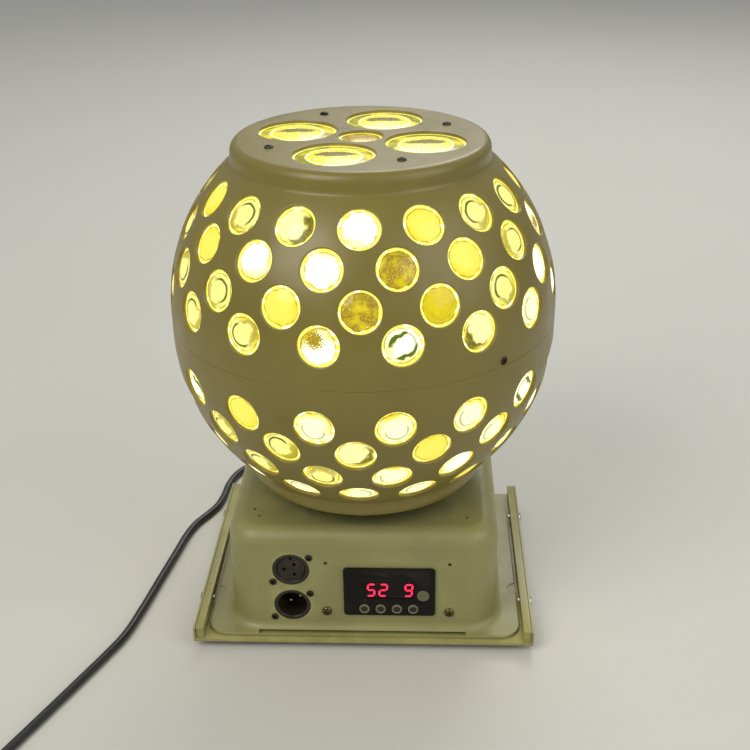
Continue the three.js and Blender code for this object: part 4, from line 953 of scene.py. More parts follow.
def diamondLoop(ring, sphere):  # the edge of the cell round one lens
    half, steps, azimuth = pitch / 2, shell["edgeSteps"], ringAzimuth(ring)
    low, latitude, high = ([0.0] + shell["ringAngles"] + [footAngle])[ring:ring + 3]
    corners = [(azimuth + half, latitude), (azimuth, high), (azimuth - half, latitude), (azimuth, low)]
    pairs = zip(corners, corners[1:] + corners[:1])
    return [
        ballPoint(a1 + (a2 - a1) * s / steps, l1 + (l2 - l1) * s / steps, sphere)
        for (a1, l1), (a2, l2) in pairs for s in range(steps)]


def betweenLoops(first, second, share, sphere):
    return [bandMiddle + (a.lerp(b, share) - bandMiddle).normalized() * sphere for a, b in zip(first, second)]


def fillBetween(bm, start, base, tip, sphere):  # the triangle that is left between two cells
    steps, rows = shell["edgeSteps"], []
    for t in range(steps + 1):
        latitude = base + (tip - base) * t / steps
        turns = [start + j * pitch / (2 * steps) for j in range(t, 2 * steps - t + 1)]
        rows.append(addPoints(bm, [ballPoint(turn, latitude, sphere) for turn in turns]))
    for low, high in zip(rows, rows[1:]):
        bm.faces.new((low[0], low[1], high[0]))
        bm.faces.new((low[-2], low[-1], high[-1]))
        for j in range(len(high) - 1):
            bm.faces.new((low[j + 1], low[j + 2], high[j + 1], high[j]))


def sweepSlice(bm, profile):
    steps = 2 * shell["edgeSteps"]
    turns = [math.radians(j * pitch / steps) for j in range(steps + 1)]
    rows = [addPoints(bm, [(r * math.sin(a), -r * math.cos(a), z) for a in turns]) for r, z in profile]
    for low, high in zip(rows, rows[1:]):
        bridge(bm, low, high, False)


def makeShellSlice():
    bm = bmesh.new()
    radius, wall, band, seam = shell["radius"], shell["wall"], shell["band"], shell["seam"]
    fillet, hole, inner = shell["holeFillet"], shell["holeRadius"], radius - wall
    for ring, latitude in enumerate(shell["ringAngles"]):
        where = (ringAzimuth(ring), latitude)
        edge, innerEdge = diamondLoop(ring, radius), diamondLoop(ring, inner)
        rim = holeLoop(*where, radius, hole + fillet, len(edge))
        loops = [edge, betweenLoops(edge, rim, 0.5, radius), rim]
        for a in map(math.radians, shell["filletAngles"]):
            sunk, widened = fillet * (1 - math.cos(a)), fillet * (1 - math.sin(a))
            loops.append(holeLoop(*where, radius - sunk, hole + widened, len(edge)))
        loops.append(holeLoop(*where, inner, hole, len(edge)))
        loops += [betweenLoops(innerEdge, loops[-1], 0.5, inner), innerEdge]
        rows = [addPoints(bm, loop) for loop in loops]
        for first, second in zip(rows, rows[1:]):
            bridge(bm, first, second)
    for sphere in (radius, inner):
        fillBetween(bm, pitch / 2, 0.0, shell["ringAngles"][0], sphere)
        fillBetween(bm, 0.0, footAngle, shell["ringAngles"][-1], sphere)
    edge = [(radius + r, seam + z) for r, z in shell["seamEdge"]]
    sweepSlice(bm, [(radius, band), (radius, band / 2)] + edge + [(inner, seam), (inner, band)])
    foot, waist, edge = shell["plateauRadius"], shell["plateauWaist"], shell["plateauEdge"]
    footZ, rimRadius = band + math.sqrt(radius ** 2 - foot ** 2), foot - edge
    profile = []
    for t in (s / shell["coveSteps"] for s in range(shell["coveSteps"] + 1)):
        shares = ((1 - t) ** 2, 2 * t * (1 - t), t ** 2)
        heights = (footZ, footZ + shell["coveRise"], footZ + shell["coveHeight"])
        profile.append((
            sum(share * r for share, r in zip(shares, (foot, waist, waist))),
            sum(share * z for share, z in zip(shares, heights))))
    for a in (math.radians(90 * s / shell["rimSteps"]) for s in range(shell["rimSteps"] + 1)):
        profile.append((rimRadius + (waist - rimRadius) * math.cos(a), plateauTop - edge * (1 - math.sin(a))))
    sweepSlice(bm, profile)
    innerFoot, innerTop = foot / radius * inner, plateauTop - wall
    rimOut, rimDown = shell["insideRim"]
    sweepSlice(bm, [
        (innerFoot, band + math.sqrt(inner ** 2 - innerFoot ** 2)),
        (waist - wall, footZ + shell["insideFoot"]),
        (waist - wall, plateauTop - shell["insideDrop"]),
        (rimRadius + rimOut, innerTop - rimDown),
        (rimRadius, innerTop),
    ])
    return objectFromBmesh("shellSlice", bm, False)


top = {
    "lensRadius": 24.3,
    "lensCircle": 41.9,
    "lensSides": 72,
    "turn": -20.8,
    "middleRadius": 13.7,
    "middleSides": 48,
    "fillet": 0.8,
    "filletAngles": (0, 30, 60, 90),
    "screwCircle": 58.9,
    "screwHole": 2.1,
    "screwSides": 20,
    "screwFillet": 0.3,
}
lensPlaces, screwPlaces = (
    [polar(circle, math.radians(top["turn"] + start + 90 * i)) for i in range(4)]
    for circle, start in ((top["lensCircle"], 0), (top["screwCircle"], 45)))
topLensSizes = [(x, y, top["lensRadius"], top["lensSides"]) for x, y in lensPlaces]
topLensSizes.append((0, 0, top["middleRadius"], top["middleSides"]))


def makePlateau():  # the flat top, with its lens openings
    bm = bmesh.new()
    rim, under = shell["plateauRadius"] - shell["plateauEdge"], plateauTop - shell["wall"]

    def circle(x, y, radius, z, segments):
        turns = circleTurns(segments)
        return addPoints(bm, [(x + radius * math.sin(a), y - radius * math.cos(a), z) for a in turns])

    def edgesOf(loop):
        return [bm.edges.get((a, b)) or bm.edges.new((a, b)) for a, b in zip(loop, loop[1:] + loop[:1])]

    count = shell["lensesPerRing"] * 2 * shell["edgeSteps"]
    upperEdges, lowerEdges = (edgesOf(circle(0, 0, rim, z, count)) for z in (plateauTop, under))
    holes = [(*size, top["fillet"]) for size in topLensSizes]
    holes += [(x, y, top["screwHole"], top["screwSides"], top["screwFillet"]) for x, y in screwPlaces]
    for x, y, radius, segments, fillet in holes:
        rows = []
        for a in map(math.radians, top["filletAngles"]):
            widened, lowered = fillet * (1 - math.sin(a)), fillet * (1 - math.cos(a))
            rows.append(circle(x, y, radius + widened, plateauTop - lowered, segments))
        rows.append(circle(x, y, radius, under, segments))
        for first, second in zip(rows, rows[1:]):
            bridge(bm, first, second)
        upperEdges += edgesOf(rows[0])
        lowerEdges += edgesOf(rows[-1])
    for edges, up in ((upperEdges, 1), (lowerEdges, -1)):
        bmesh.ops.triangle_fill(bm, edges=edges, use_beauty=True, normal=(0, 0, up))
    return objectFromBmesh("plateau", bm, False)


def makeShells():
    half = turnRound("halfShell", makeShellSlice(), shell["lensesPerRing"], "shellCream")
    whole = joinMeshes("ballShellUpper", [half, makePlateau()])
    with editing(whole) as bm:
        bmesh.ops.remove_doubles(bm, verts=bm.verts, dist=weld)
        bmesh.ops.recalc_face_normals(bm, faces=bm.faces)
        openEdges = [edge for edge in bm.edges if not edge.is_manifold]
        print("half shell:", len(bm.faces), "faces,", len(openEdges), "open edges")
    lower = linkObject("ballShellLower", whole.data.copy())
    for obj, side, turn in ((whole, "upper", upperTurn), (lower, "lower", lowerTurn)):
        place(obj, 0, 0, ballZ, turn)
        evenNormals(shade(obj, shell["sharpAngle"]))
        dress(obj, "shellCream", "ball", "cream_plastic", "ball_shell_" + side)


makeShells()
print("ball shells made")


# The lenses: clear domes that each show a piece of the bright lamp inside.
lens = {
    "dome": (14.5, 117.4, 120.05, 11.9, 122.4, 8),  # radius, base, seat, dome's radius, crown, steps
    "sides": 40, "seed": 7, "glowReach": (0.12, 0.16), "edge": 0.4, "seatEdge": 0.3, "domeFoot": 0.25,
}
topDome = {
    "seatDrop": 0.05, "rim": 1.4, "thickness": 2.6, "inset": 0.5, "crownShare": 0.075, "crown": 0.3,
    "steps": 12, "kinds": ("pale", "pale", "pale", "pale", "amber"), "spread": 0.2, "spreadTurn": 2.1,
    "turnStep": 0.17,
}
glowColors = {
    "Hot": (1.35, 1.3, 0.75, 1.0),
    "Pale": (0.74, 0.62, 0.0, 1.0),
    "Amber": (0.28, 0.17, 0.012, 1.0),
    "Shade": (0.08, 0.12, 0.006, 1.0),
    "Rim": (1.0, 0.91, 0.16, 1.0),
}
glow = {
    "seedScale": 17.0, "strength": 1.1, "bump": (0.06, 0.0004), "darkening": 0.72,
    "dark": (0.02, 0.02, 0.005, 1), "coat": 0.2, "coatRoughness": 0.14, "specular": 0.3,
    "roughness": (0.12, 0.16), "fineHeight": 0.2,
}
lensLook = {
    "cloudy": (2.2, 1.0), "arcs": (3.4, 2.0), "grains": 9.0, "fine": (15.0, 3.0),
    "warp": (0.3, 0.7, -0.1, 0.1), "amberFade": (0.42, 0.68, 1.0, 0.45), "granular": (0.4, 0.66, 0.0, 0.4),
    "specks": (0.13, 0.05), "speckKind": (0.5, 0.9), "hot": (0.95, 0.5), "farShare": 0.35,
    "outerDisc": (0.62, 0.5), "innerDisc": (0.58, 0.44), "crescentKind": (0.45, 0.9),
    "crescentGrain": (0.4, 0.65), "oneSide": (-0.03, 0.03, 0.0, 1.5), "outlineKind": (0.85, 0.8),
    "outlineWarp": 0.2, "outline": (0.46, 0.075, 0.02), "patchEdge": (0.3, 0.7, -0.14, 0.14),
    "patch": (0.36, 0.26), "patchKind": (0.4, 0.55), "stripeWarp": 0.8, "stripeKind": (0.42, 0.445),
    "stripe": (0.4, 0.14, 0.06), "stripeEnd": (0.62, 0.54), "fullTurn": 6.2832,
    "grooveWarp": (0.3, 0.7, -0.03, 0.03), "groove": (0.7, 0.04, 0.01), "grooveFade": (0.6, 0.45, 0.1, 0.75),
    "rimGrain": (0.36, 0.5, 0.35, 1.0), "rimHot": (0.54, 0.62), "rim": (0.71, 0.74), "edge": (0.825, 0.88),
}
topLook = {
    "cloudy": (2.6, 2.0), "fine": (18.0, 3.0), "domeCentre": (0, -0.09, 0), "wobble": 0.05,
    "shade": (0.36, 0.62, 0.1, 0.8), "ring": (0.6, 0.57), "grain": (0.45, 0.6), "inside": (0.54, 0.51),
    "glintReach": (0.5, 0.42), "glintGrain": (0.54, 0.64), "glint": 0.7, "squeeze": (2.2, 5.8, 0),
    "slitEdge": (0.3, 0.7, -0.15, 0.15), "slit": (1.05, 0.75), "rim": (0.785, 0.805),
    "rimGrain": (0.52, 0.62), "edge": (0.845, 0.9),
}


def startGlow(name):  # a glow's group, its view from -1 to 1, the lens's own shape and a spot for its noise
    inputs = {key: (color, value) for key, value in glowColors.items()}
    tree, given, out = newGroup(name, inputs, surfaceOutputs)
    uv = Wire(addNode(tree, "ShaderNodeUVMap", uv_map="lens").outputs[0])
    flat = uv.vector("MULTIPLY_ADD", (2, 2, 2), (-1, -1, 0))
    shape = lensValue(tree, "glowShape")
    return tree, given, out, flat, shape, flat.vector("ADD", shape.scaled(glow["seedScale"]))


def lensValue(tree, name):
    return Wire(addNode(tree, "ShaderNodeAttribute", attribute_name=name).outputs["Vector"])


def endGlow(given, out, body, radial, edge, cloudy, fine):
    share, base = glow["roughness"]
    body.over(radial.span(*edge), given["Amber"]).into(out["Color"])
    (fine * share + base).into(out["Roughness"])
    (cloudy + fine * glow["fineHeight"]).into(out["Height"])


def makeLensGlow():
    look = lensLook
    tree, given, out, flat, shape, spot = startGlow("lensGlow")
    hotShare, amberShare, shadeShare = lensValue(tree, "glowMix").parts()
    shapeX, shapeY, turnShare = shape.parts()
    centre = Wire(addNode(tree, "ShaderNodeCombineXYZ", {"X": shapeX, "Y": shapeY}).outputs[0])
    cloudy, arcs, fine = (spot.noise(*look[key]) for key in ("cloudy", "arcs", "fine"))
    radial, warp = flat.distanceTo((0, 0, 0)), cloudy.span(*look["warp"])
    opposite, farther = flat.distanceTo(centre.scaled(-1.0)), flat.distanceTo(centre.scaled(look["farShare"]))
    granular = fine.span(*look["granular"]).mix(given["Amber"], given["Pale"])
    body = (amberShare * cloudy.span(*look["amberFade"])).clamped().mix(given["Pale"], granular)
    specks = spot.cells(look["grains"]).span(*look["specks"]) * amberShare.span(*look["speckKind"])
    body = body.over(specks, given["Hot"])
    body = body.over((flat.distanceTo(centre) + warp).span(*look["hot"]) * hotShare, given["Hot"])
    outerDisc = (opposite + warp).span(*look["outerDisc"])
    crescent = (outerDisc - (farther + warp).span(*look["innerDisc"])).clamped()
    crescentTint = fine.span(*look["crescentGrain"]).mix(given["Shade"], given["Amber"])
    body = body.over(crescent * shadeShare.span(*look["crescentKind"]), crescentTint)
    facingGlow = flat.vector("DOT_PRODUCT", centre, result="Value")
    oneSide = facingGlow.span(*look["oneSide"]) * shadeShare.span(*look["outlineKind"])
    outline = (farther + warp * look["outlineWarp"]).near(*look["outline"])
    body = body.over((outline * (oneSide * shadeShare)).clamped(), given["Shade"])
    patch = (opposite + fine.span(*look["patchEdge"])).span(*look["patch"])
    body = body.over(patch * (hotShare * amberShare).span(*look["patchKind"]), granular)
    x, y = flat.parts()[:2]
    tilt = turnShare * look["fullTurn"]
    across = abs(x * tilt.combine("COSINE") + y * tilt.combine("SINE") + warp * look["stripeWarp"])
    stripe = across.near(*look["stripe"]) * (hotShare * shadeShare).span(*look["stripeKind"])
    body = body.over(stripe * radial.span(*look["stripeEnd"]), given["Shade"])
    inner = radial + cloudy.span(*look["grooveWarp"])
    body = body.over(inner.near(*look["groove"]) * arcs.span(*look["grooveFade"]), given["Amber"])
    rimTint = fine.span(*look["rimGrain"]).mix(given["Pale"], given["Rim"])
    rimTint = rimTint.over(arcs.span(*look["rimHot"]), given["Hot"])
    body = body.over(inner.span(*look["rim"]), rimTint)
    endGlow(given, out, body, radial, look["edge"], cloudy, fine)
    return tree


def makeTopGlow():  # a flat view into a big lens: outline, inner dome, a dark slit and a bright foot
    look = topLook
    tree, given, out, flat, shape, spot = startGlow("topGlow")
    cloudy, fine = (spot.noise(*look[key]) for key in ("cloudy", "fine"))
    radial = flat.vector("LENGTH", result="Value")
    dome = flat.distanceTo(look["domeCentre"]) + (cloudy - 0.5) * look["wobble"]
    body = cloudy.span(*look["shade"]).mix(given["Pale"], given["Shade"])
    body = body.over(dome.span(*look["ring"]), fine.span(*look["grain"]).mix(given["Rim"], given["Hot"]))
    body = body.over(dome.span(*look["inside"]), given["Pale"])
    glint = dome.span(*look["glintReach"]) * fine.span(*look["glintGrain"])
    body = body.over(glint * look["glint"], given["Hot"])
    slitReach = flat.vector("MULTIPLY", look["squeeze"]).vector("LENGTH", result="Value")
    slit = (slitReach + cloudy.span(*look["slitEdge"])).span(*look["slit"])
    body = body.over(slit, fine.span(*look["grain"]).mix(given["Shade"], given["Amber"]))
    body = body.over(radial.span(*look["rim"]), fine.span(*look["rimGrain"]).mix(given["Rim"], given["Hot"]))
    endGlow(given, out, body, radial, look["edge"], cloudy, fine)
    return tree


def makeLensFinish(name, glowGroup):
    material, tree, principled = newMaterial(name)
    group = addNode(tree, "ShaderNodeGroup", glowColors, node_tree=glowGroup)
    setInputs(tree, principled, {
        "Coat Weight": glow["coat"],
        "Coat Roughness": glow["coatRoughness"],
        "Specular IOR Level": glow["specular"],
        "Emission Strength": glow["strength"],
        "Emission Color": group.outputs["Color"],
        "Base Color": Wire(group.outputs["Color"]).over(glow["darkening"], glow["dark"]),
        "Roughness": group.outputs["Roughness"],
        "Normal": bumpNormal(tree, glow["bump"], group.outputs["Height"]),
    })
    return material


finishes["litLens"] = makeLensFinish("litLens", makeLensGlow())
finishes["litTopLens"] = makeLensFinish("litTopLens", makeTopGlow())

# How each lens looks from the front, by kind: hot, amber and shade shares.
glowKinds = {
    "white": (1.0, 0.0, 0.0),
    "patched": (1.0, 0.6, 0.0),
    "pale": (0.12, 0.0, 0.0),
    "gold": (0.3, 0.12, 0.7),
    "amber": (0.0, 1.0, 0.2),
    "olive": (0.0, 0.42, 0.1),
    "eye": (0.75, 0.0, 0.45),
    "crescent": (0.46, 0.0, 0.9),
    "stripe": (1.0, 0.1, 0.45),
}
chanceKinds = {
    "Upper": "white patched pale pale gold gold eye amber olive crescent stripe".split(),
    "Lower": "eye eye gold gold white crescent pale stripe".split(),
}
# How the front's lenses look, by half and ring, and then by place round the ring: kind, centre of the glow
# and turn of its stripe.
seenLooks = {
    ("Upper", 3): {
        0: ("white", 0.05, 0.1, 0.21), 15: ("crescent", -0.24, 0.1, 0.1), 1: ("pale", 0.1, 0.0, 0.62),
        14: ("gold", 0.1, 0.1, 0.33), 2: ("gold", -0.12, 0.06, 0.75)},
    ("Upper", 2): {
        0: ("amber", 0.0, 0.1, 0.4), 15: ("white", 0.02, -0.03, 0.9), 14: ("white", -0.1, 0.12, 0.15),
        1: ("pale", 0.16, 0.1, 0.55), 2: ("gold", 0.14, 0.0, 0.28)},
    ("Upper", 1): {
        0: ("amber", 0.1, 0.2, 0.81), 15: ("pale", -0.1, 0.05, 0.5), 1: ("olive", 0.1, -0.2, 0.07),
        14: ("gold", 0.1, 0.05, 0.66), 2: ("gold", -0.1, 0.1, 0.44)},
    ("Upper", 0): {
        0: ("stripe", 0.1, 0.1, 0.34), 15: ("patched", 0.14, -0.24, 0.2), 14: ("gold", -0.15, -0.1, 0.87),
        1: ("crescent", 0.12, 0.12, 0.59), 13: ("gold", -0.1, 0.1, 0.02)},
    ("Lower", 0): {0: ("eye", 0.06, 0.2, 0.3), 15: ("eye", -0.06, 0.2, 0.7)},
}


def lensUv(obj, radius):
    with editing(obj) as bm:
        uv = bm.loops.layers.uv.new("lens")
        for loop in (loop for face in bm.faces for loop in face.loops):
            loop[uv].uv = (loop.vert.co.x / mm / radius / 2 + 0.5, loop.vert.co.y / mm / radius / 2 + 0.5)
    return obj


def domeProfile(radius, base, seat, domeRadius, crown, steps):
    sag, edge, seatEdge = crown - seat, lens["edge"], lens["seatEdge"]
    curve = (domeRadius ** 2 + sag ** 2) / (2 * sag)
    profile = [
        (0, base), (radius - edge, base), (radius, base + edge), (radius, seat - seatEdge),
        (radius - seatEdge, seat), (domeRadius + lens["domeFoot"], seat)]
    for r in (domeRadius * (1 - s / steps) for s in range(steps + 1)):
        profile.append((r, seat + math.sqrt(curve ** 2 - r ** 2) - (curve - sag)))
    return profile


def drawLook(chance, half):
    nearest, spread = lens["glowReach"]
    a, reach = chance.random() * 2 * math.pi, nearest + spread * chance.random()
    return (chance.choice(chanceKinds[half]), *polar(reach, a), chance.random())


def makeLenses():
    chance = random.Random(lens["seed"])
    for half, turn in (("Upper", upperTurn), ("Lower", lowerTurn)):
        for group, rings in (("Outer", (0, 1)), ("Inner", (2, 3))):
            places, mixes, shapes = [], [], []
            for ring, index in ((ring, index) for ring in rings for index in range(shell["lensesPerRing"])):
                drawn = drawLook(chance, half)
                kind, *shape = seenLooks.get((half, ring), {}).get(index, drawn)
                mixes.append(glowKinds[kind])
                shapes.append(shape)
                azimuth = index * pitch + ringAzimuth(ring)
                places.append((bandMiddle, lensFrame(azimuth, shell["ringAngles"][ring])))
            profile = domeProfile(*lens["dome"])
            dome = lensUv(lathe("lensDome", profile, lens["sides"]), lens["dome"][0])
            extra = {"glowMix": mixes, "glowShape": shapes}
            lenses = setCopies("lenses" + half + group, dome, places, "litLens", extra)
            node = "lens_band_" + half.lower() + "_" + group.lower()
            dress(place(lenses, 0, 0, ballZ, turn), "litLens", "ball", "lens_plastic", node)


def makeTopLens(i, x, y, radius, segments):
    seat = plateauTop - shell["wall"] - topDome["seatDrop"]
    crown = seat + topDome["crownShare"] * radius + topDome["crown"]
    base, inset = seat - topDome["thickness"], topDome["inset"]
    profile = domeProfile(radius + topDome["rim"], base, seat, radius - inset, crown, topDome["steps"])
    dome = lensUv(lathe("topLens", profile, segments), radius / topLook["edge"][0])
    count = len(dome.data.vertices)
    kind, spread, turnStep = topDome["kinds"][i], topDome["spread"], topDome["turnStep"]
    addVectors(dome.data, "glowMix", [glowKinds[kind]] * count)
    addVectors(dome.data, "glowShape", [(*polar(spread, i * topDome["spreadTurn"]), turnStep * i)] * count)
    return place(dome, x, y)


def makeTopLenses():
    pieces = [makeTopLens(i, *size) for i, size in enumerate(topLensSizes)]
    middle = shade(pieces.pop())
    middle.name = "topMiddleLens"
    dress(place(middle, 0, 0, ballZ, upperTurn), "litLens", "ball", "lens_plastic")
    lenses = shade(joinMeshes("topLenses", pieces))
    dress(place(lenses, 0, 0, ballZ, upperTurn), "litTopLens", "ball", "lens_plastic", "top_lens_plate")


makeLenses()
makeTopLenses()
print("lenses set")


# Screws: a domed head with a crossed recess, and the shank that goes into the work.
screwSizes = {  # head's radius and height, shank's radius and length
    "topScrew": (2.8, 1.4, 1.8, 3.0),
    "seamScrew": (2.6, 1.2, 1.5, 4.0),
    "railScrew": (3.5, 1.8, 1.6, 8.0),
    "panelScrew": (3.3, 1.9, 1.6, 16.0),
}
screw = {
    "headShares": [(0.96, 0), (1, 0.16), (0.95, 0.5), (0.78, 0.8), (0.45, 0.96), (0, 1)],
    "sides": 36, "sharpAngle": 38, "armShare": 0.56, "halfShare": 0.13, "depthShare": 0.42, "over": 1,
    "topTurns": (0.3, 0.7), "topLift": 0.02, "seamAzimuths": (44, 224), "seamSink": 0.1, "seamRise": 3.4,
}


def crossScrew(name):
    radius, height, shankRadius, shank = screwSizes[name]
    profile = [(0, -shank), (shankRadius, -shank), (shankRadius, 0)]
    profile += [(radius * r, height * z) for r, z in screw["headShares"]]
    arm, half, depth = radius * screw["armShare"], radius * screw["halfShare"], height * screw["depthShare"]
    tall = height + screw["over"]
    cross = [block("crossArm", (-a, -b, depth), (a, b, tall)) for a, b in ((arm, half), (half, arm))]
    return shade(cutBy(lathe(name, profile, screw["sides"]), cross), screw["sharpAngle"])


def numbered(name, count):
    return [name + str(i) for i in range(1, count + 1)]


def makeBallScrews():
    first, step = screw["topTurns"]
    turns = [Matrix.Rotation(step * i + first, 3, "Z") for i in range(len(screwPlaces))]
    places = [((x, y, plateauTop + screw["topLift"]), turn) for (x, y), turn in zip(screwPlaces, turns)]
    screws = setCopies("topScrews", crossScrew("topScrew"), places, "darkSteel")
    place(screws, 0, 0, ballZ, upperTurn)
    dress(screws, "darkSteel", "ball", "dark_steel", *numbered("top_screw_", 4))
    out = Vector((0, 0, shell["radius"] - screw["seamSink"]))
    turns = [lensFrame(azimuth, 0) for azimuth in screw["seamAzimuths"]]
    places = [(turn @ out + Vector((0, 0, screw["seamRise"])), turn) for turn in turns]
    screws = place(setCopies("seamScrews", crossScrew("seamScrew"), places, "darkSteel"), 0, 0, ballZ)
    dress(screws, "darkSteel", "ball", "dark_steel", *numbered("seam_screw_", 2))


makeBallScrews()
print("ball screws set")


# The base: a moulded housing on a painted tray, with two signal sockets and a control panel.
housing = {
    "sharpAngle": 28, "halfWidth": 88.5, "halfDepth": 77.0, "base": 8.0, "top": 86.0, "wall": 2.5,
    "corner": 22.0, "leastCorner": 1.5, "edge": 11.0, "innerEdge": 8.5, "flangeSide": 15.5,
    "flangeFront": 6.5, "flangeCorner": 14.0, "flange": 2.4,
    "flangeRows": [(0.4, 0, 0), (0, 0, 0.4), (0, 1, -0.8), (0.25, 1, -0.25), (0.8, 1, 0)], "flare": 6.0,
    "cornerSteps": 14, "quarterSteps": 10, "cutFront": 12.0, "cutInside": 4.0,
    "slot": {
        "ends": (-69.2, 67.7), "base": 9.9, "top": 11.0,
        "wellFront": -83.0, "wellBase": 7.0, "wellTop": 10.9},
    "window": ((-6.0, 23.3), (46.4, 51.0)), "socketHole": 12.1, "screwHole": 1.9, "pilotHole": 1.3,
    "pilotZ": 62.3, "topCut": (78, 90),
    "topHoles": ((-67.7, -57.5), (67.7, -57.5), (-71.7, -49.5), (55.1, -30.3)), "postHole": 17.35,
    "pinionHole": (3.0, -35.355, 35.355), "rearCut": (70, 80),
    "rearHoles": (("glandHole", 5.95, -52), ("fuseHole", 6.35, -18)), "rearZ": 30,
    "marks": (6.5, 10.0, 12, ((-104.5, -38.0), (104.5, -31.5))),
}
socketX, socketRows = -46.7, (57.0, 28.9)
panelScrewX, panelScrewZ = (-23.9, 56.8), 24.5
rivet = {
    "dx": 12, "dz": 9.5, "hole": 1.7,
    "profile": [
        (0, -6), (1.4, -6), (1.4, 0), (2.4, 0), (2.5, 0.15), (2.35, 0.6), (1.8, 1.0), (1.05, 1.1),
        (0.85, 0.8), (0.8, -0.6), (0, -0.6)],
}


def rivetPlaces(rows):
    return [(socketX + s * rivet["dx"], z + s * rivet["dz"]) for z in rows for s in (1, -1)]


def boxRow(halfWidth, halfDepth, corner, z):
    outline = roundedBox(-halfWidth, halfWidth, -halfDepth, halfDepth, corner, housing["cornerSteps"], -1)
    return [(x, y, z) for x, y in outline]


def wallRow(inset, z):
    corner = max(housing["leastCorner"], housing["corner"] - inset)
    return boxRow(housing["halfWidth"] - inset, housing["halfDepth"] - inset, corner, z)


def flangeRow(inset, z):
    halfWidth = housing["halfWidth"] + housing["flangeSide"] - inset
    halfDepth = housing["halfDepth"] + housing["flangeFront"] - inset
    return boxRow(halfWidth, halfDepth, housing["flangeCorner"] - inset, z)


def housingRows():
    h, steps = housing, housing["quarterSteps"]
    quarter = [(math.sin(a), math.cos(a)) for a in (math.radians(90 * s / steps) for s in range(steps + 1))]
    wall, inner, flangeTop = h["wall"], h["innerEdge"], h["base"] + h["flange"]
    innerTop = h["top"] - wall
    rows = [wallRow(wall + inner * (1 - c), innerTop - inner * (1 - s)) for s, c in reversed(quarter)]
    rows.append(wallRow(wall, h["base"]))
    rows += [flangeRow(inset, (h["base"], flangeTop)[upper] + z) for inset, upper, z in h["flangeRows"]]
    rows += [wallRow(-h["flare"] * (1 - s), flangeTop + h["flare"] * (1 - c)) for s, c in quarter]
    return rows + [wallRow(h["edge"] * (1 - c), h["top"] - h["edge"] + h["edge"] * s) for s, c in quarter]


def housingCuts():
    h, slot = housing, housing["slot"]
    front, inside = -h["halfDepth"] - h["cutFront"], -h["halfDepth"] + h["wall"] + h["cutInside"]
    (left, right), radius = slot["ends"], (slot["top"] - slot["base"]) / 2

    def frontHoles(name, radius, places):
        return [barY(name, radius, front, inside, *spot) for spot in places]

    def topHole(name, radius, *spot):
        return barZ(name, radius, *h["topCut"], *spot)

    cuts = frontHoles("slotEnd", radius, [(x, slot["base"] + radius) for x in slot["ends"]])
    cuts.append(block("slotMiddle", (left, front, slot["base"]), (right, inside, slot["top"])))
    wellLow, wellHigh = (left, slot["wellFront"], slot["wellBase"]), (right, inside, slot["wellTop"])
    cuts.append(block("slotWell", wellLow, wellHigh))
    (x1, z1), (x2, z2) = h["window"]
    cuts.append(block("panelWindow", (x1, front, z1), (x2, inside, z2)))
    cuts += frontHoles("socketHole", h["socketHole"], [(socketX, z) for z in socketRows])
    cuts += frontHoles("rivetHole", rivet["hole"], rivetPlaces(socketRows))
    cuts += frontHoles("screwHole", h["screwHole"], [(x, panelScrewZ) for x in panelScrewX])
    cuts += frontHoles("pilotHole", h["pilotHole"], [(x, h["pilotZ"]) for x in panelScrewX])
    cuts += [topHole("topHole", h["pilotHole"], *spot) for spot in h["topHoles"]]
    cuts += [topHole("postHole", h["postHole"], 0, 0), topHole("pinionHole", *h["pinionHole"])]
    cuts += [barY(name, radius, *h["rearCut"], x, h["rearZ"]) for name, radius, x in h["rearHoles"]]
    *mark, places = h["marks"]
    return cuts + [barZ("flangeMark", *mark, *spot) for spot in places]


def makeHousing():
    obj = cutBy(loftRows("baseHousing", housingRows()), housingCuts())
    with editing(obj) as bm:
        bmesh.ops.remove_doubles(bm, verts=bm.verts, dist=weld / 2)
    evenNormals(shade(obj, housing["sharpAngle"]))
    dress(obj, "housingCream", "base", "cream_plastic", "base_housing")


makeHousing()
print("housing made")

trayEdge = (0.4, 3)
rail = {
    "edge": 0.3, "side": (106.7, 110.1), "ends": (-85.5, 93.5), "thickness": 1, "low": 8.9, "high": 14.9,
    "screwX": 112.52, "screwZ": 11.75, "screwY": (-47.0, 57.0), "turn": 0.5,
}
foot = {
    "places": ((-93.3, -67.8), (93.3, -67.8), (93.3, 76.8), (-93.3, 76.8)),
    "profile": [
        (0, 0.7), (3.2, 0.7), (3.6, 0.0), (7.9, 0.0), (8.7, 0.5), (9.0, 1.4), (9.0, 2.2), (8.6, 2.4),
        (8.6, 2.9), (9.0, 3.1), (9.0, 5.9), (8.7, 6.2), (0, 6.2)],
}


def turnedScrews(name, kind, places, direction, finish, turn, *nodes):  # each cross has a turn of its own
    ways = facing(direction).to_3x3()
    places = [(point, ways @ Matrix.Rotation(turn + own, 3, "Z")) for point, own in places]
    dressCopies(name, crossScrew(kind), places, finish, "base", "steel", *nodes)


